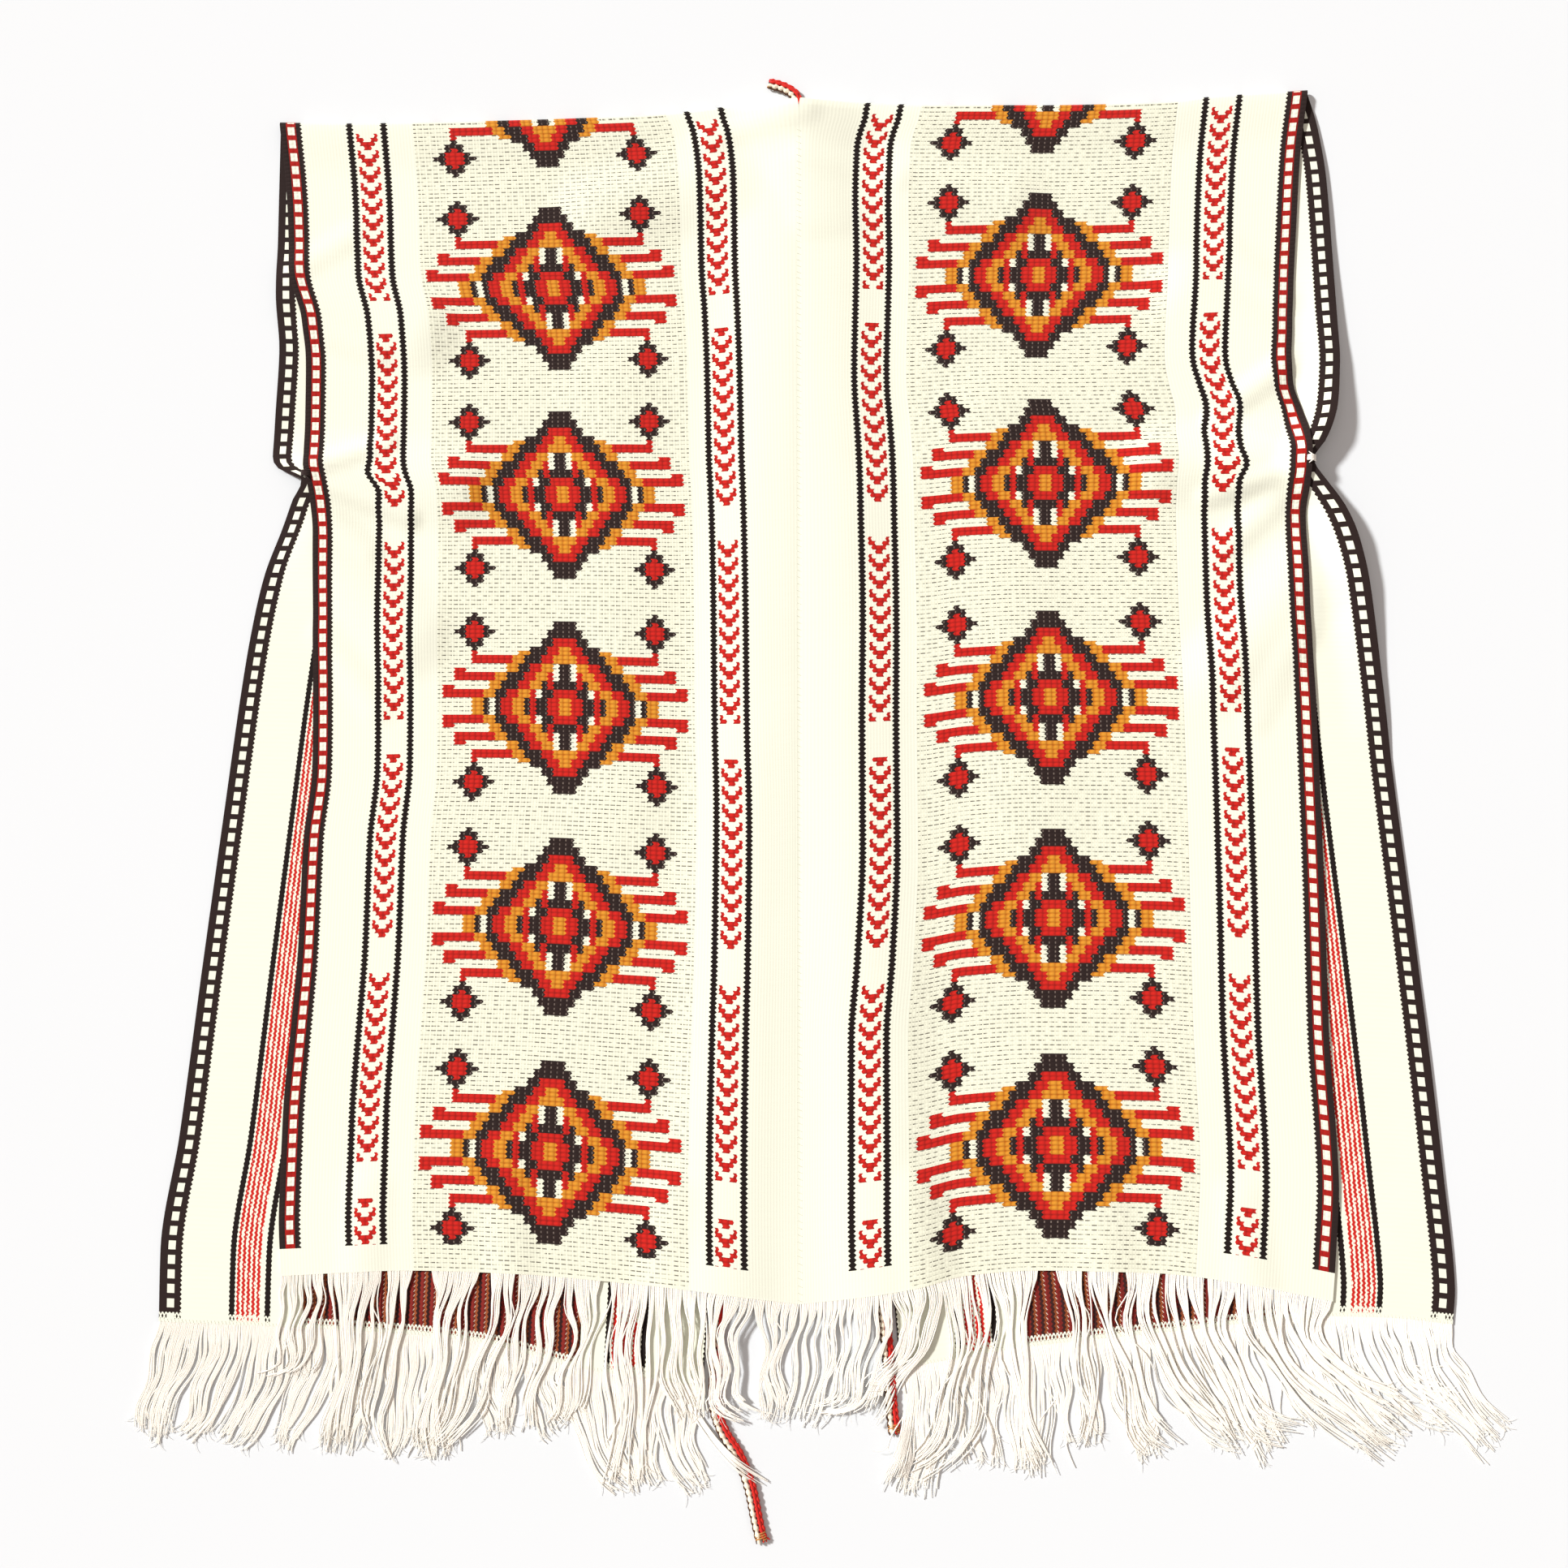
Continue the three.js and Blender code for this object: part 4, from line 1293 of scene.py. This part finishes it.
class CAPE_OT_tacks(bpy.types.Operator):
    """Tie the front and back together under each arm"""

    bl_idname = "cape.tacks"
    bl_label = "Tacks"

    def execute(self, context):
        colours = context.scene.cape_colours
        white = yarn_paint("fringe yarn", colours.fringe)
        brown = yarn_paint("brown yarn", shade(colours.dark, 1.6))
        for node, (x, y) in TACKS.items():
            inward = 1 if x < 0 else -1
            z = (FRONT_Z + BACK_Z) / 2 + fold_lift(x, y)
            middle = x + inward * TACK_INSET
            runs = []
            for loop in range(TACK_LOOPS):
                points = []
                for k in range(17):
                    angle = 2 * math.pi * k / 16
                    at = middle + TACK_RADIUS * math.cos(angle)
                    rise = fold_lift(at, y) - fold_lift(x, y)
                    lean = (loop - TACK_LOOPS // 2) * (0.95 + 0.12 * math.cos(angle))
                    points.append((at, y + lean, z + rise + TACK_HEIGHT * math.sin(angle)))
                runs.append((points, [1.0] * 17, 0))
            for turn in (-1, 1):
                points = []
                for k in range(7):
                    at = middle + inward * (0.6 * k - 1.2)
                    rise = fold_lift(at, y) - fold_lift(x, y)
                    points.append((at, y + turn * (1.6 + 0.5 * k), z + rise + 3.0 - 0.1 * k))
                runs.append((points, [0.9, 0.9, 0.85, 0.8, 0.7, 0.6, 0.4], 0))
            mesh = yarns_to_mesh(node + "_yarn", runs, [brown if x < 0 else white], TACK_YARN, 1)
            add_piece(node + "_yarn", mesh, "fringe_yarn", node)
        return {"FINISHED"}


class CAPE_OT_stitching(bpy.types.Operator):
    """Sew the centre back seam and overcast the front hems"""

    bl_idname = "cape.stitching"
    bl_label = "Stitching"

    def execute(self, context):
        thread = yarn_paint("sewing thread", context.scene.cape_colours.ivory, 0.2)
        for name, runs in (("seam_stitches", self.seam()), ("hem_stitches", self.hems())):
            mesh = yarns_to_mesh(name, runs, [thread], THREAD)
            add_piece(name, mesh, "brocade")
        return {"FINISHED"}

    def seam(self):
        """Short slanted stitches across the centre back seam."""
        chance = random.Random(5)
        runs = []
        y = SEAM_TOP
        while y > SEAM_END:
            points = []
            for k in range(5):
                t = k / 4
                x = SEAM_X + mix(-STITCH_REACH, STITCH_REACH, t)
                at = y - STITCH_SLANT * t
                z = level(LEFT, LEFT["back"], x, at, SEAM_FOLD - at) + CLOTH / 2
                points.append((x, at, z + 0.1 * math.sin(math.pi * t)))
            runs.append((points, [1.0] * 5, 0))
            y -= SEAM_PITCH * chance.uniform(0.92, 1.08)
        return runs

    def hems(self):
        """Stitches that go over the edge of each front hem."""
        runs = []
        for side in (LEFT, RIGHT):
            for i in range(HEM_STITCHES):
                root, out, z = hem_point(side, side["front"], (i + 0.5) / HEM_STITCHES)
                along_hem = Vector((-out.y, out.x))
                points = []
                for k in range(6):
                    t = k / 5
                    spot = root + out * mix(-2.2, 0.6, t) + along_hem * mix(-0.7, 0.7, t)
                    over_edge = (CLOTH / 2 + 0.05) * math.cos(max(0, t - 0.6) * 3.4)
                    points.append((spot.x, spot.y, z + over_edge))
                runs.append((points, [1.0] * 6, 0))
        return runs


class CAPE_PT_cape(bpy.types.Panel):
    """The cape's sizes, colours and pieces"""

    bl_label = "Cape"
    bl_idname = "CAPE_PT_cape"
    bl_space_type = "VIEW_3D"
    bl_region_type = "UI"
    bl_category = "Cape"

    def draw(self, context):
        for group in SETTINGS:
            settings = getattr(context.scene, group)
            for name in settings.__annotations__:
                self.layout.prop(settings, name)
        for operator in OPERATORS:
            self.layout.operator(operator.bl_idname)


OPERATORS = (
    CAPE_OT_stage, CAPE_OT_ties, CAPE_OT_fringes, CAPE_OT_strips, CAPE_OT_tacks, CAPE_OT_stitching,
)
SETTINGS = {"cape_sizes": CapeSizes, "cape_colours": CapeColours, "cape_stage": CapeStage}
CLASSES = (*SETTINGS.values(), *OPERATORS, CAPE_PT_cape)


def register():
    for made in CLASSES:
        bpy.utils.register_class(made)
    for name, group in SETTINGS.items():
        setattr(bpy.types.Scene, name, PointerProperty(type=group))


def unregister():
    for name in SETTINGS:
        delattr(bpy.types.Scene, name)
    for made in reversed(CLASSES):
        bpy.utils.unregister_class(made)


def main():
    register()
    bpy.ops.cape.stage()
    bpy.ops.cape.ties()
    bpy.ops.cape.fringes()
    bpy.ops.cape.strips()
    bpy.ops.cape.tacks()
    bpy.ops.cape.stitching()


if __name__ == "__main__":
    main()
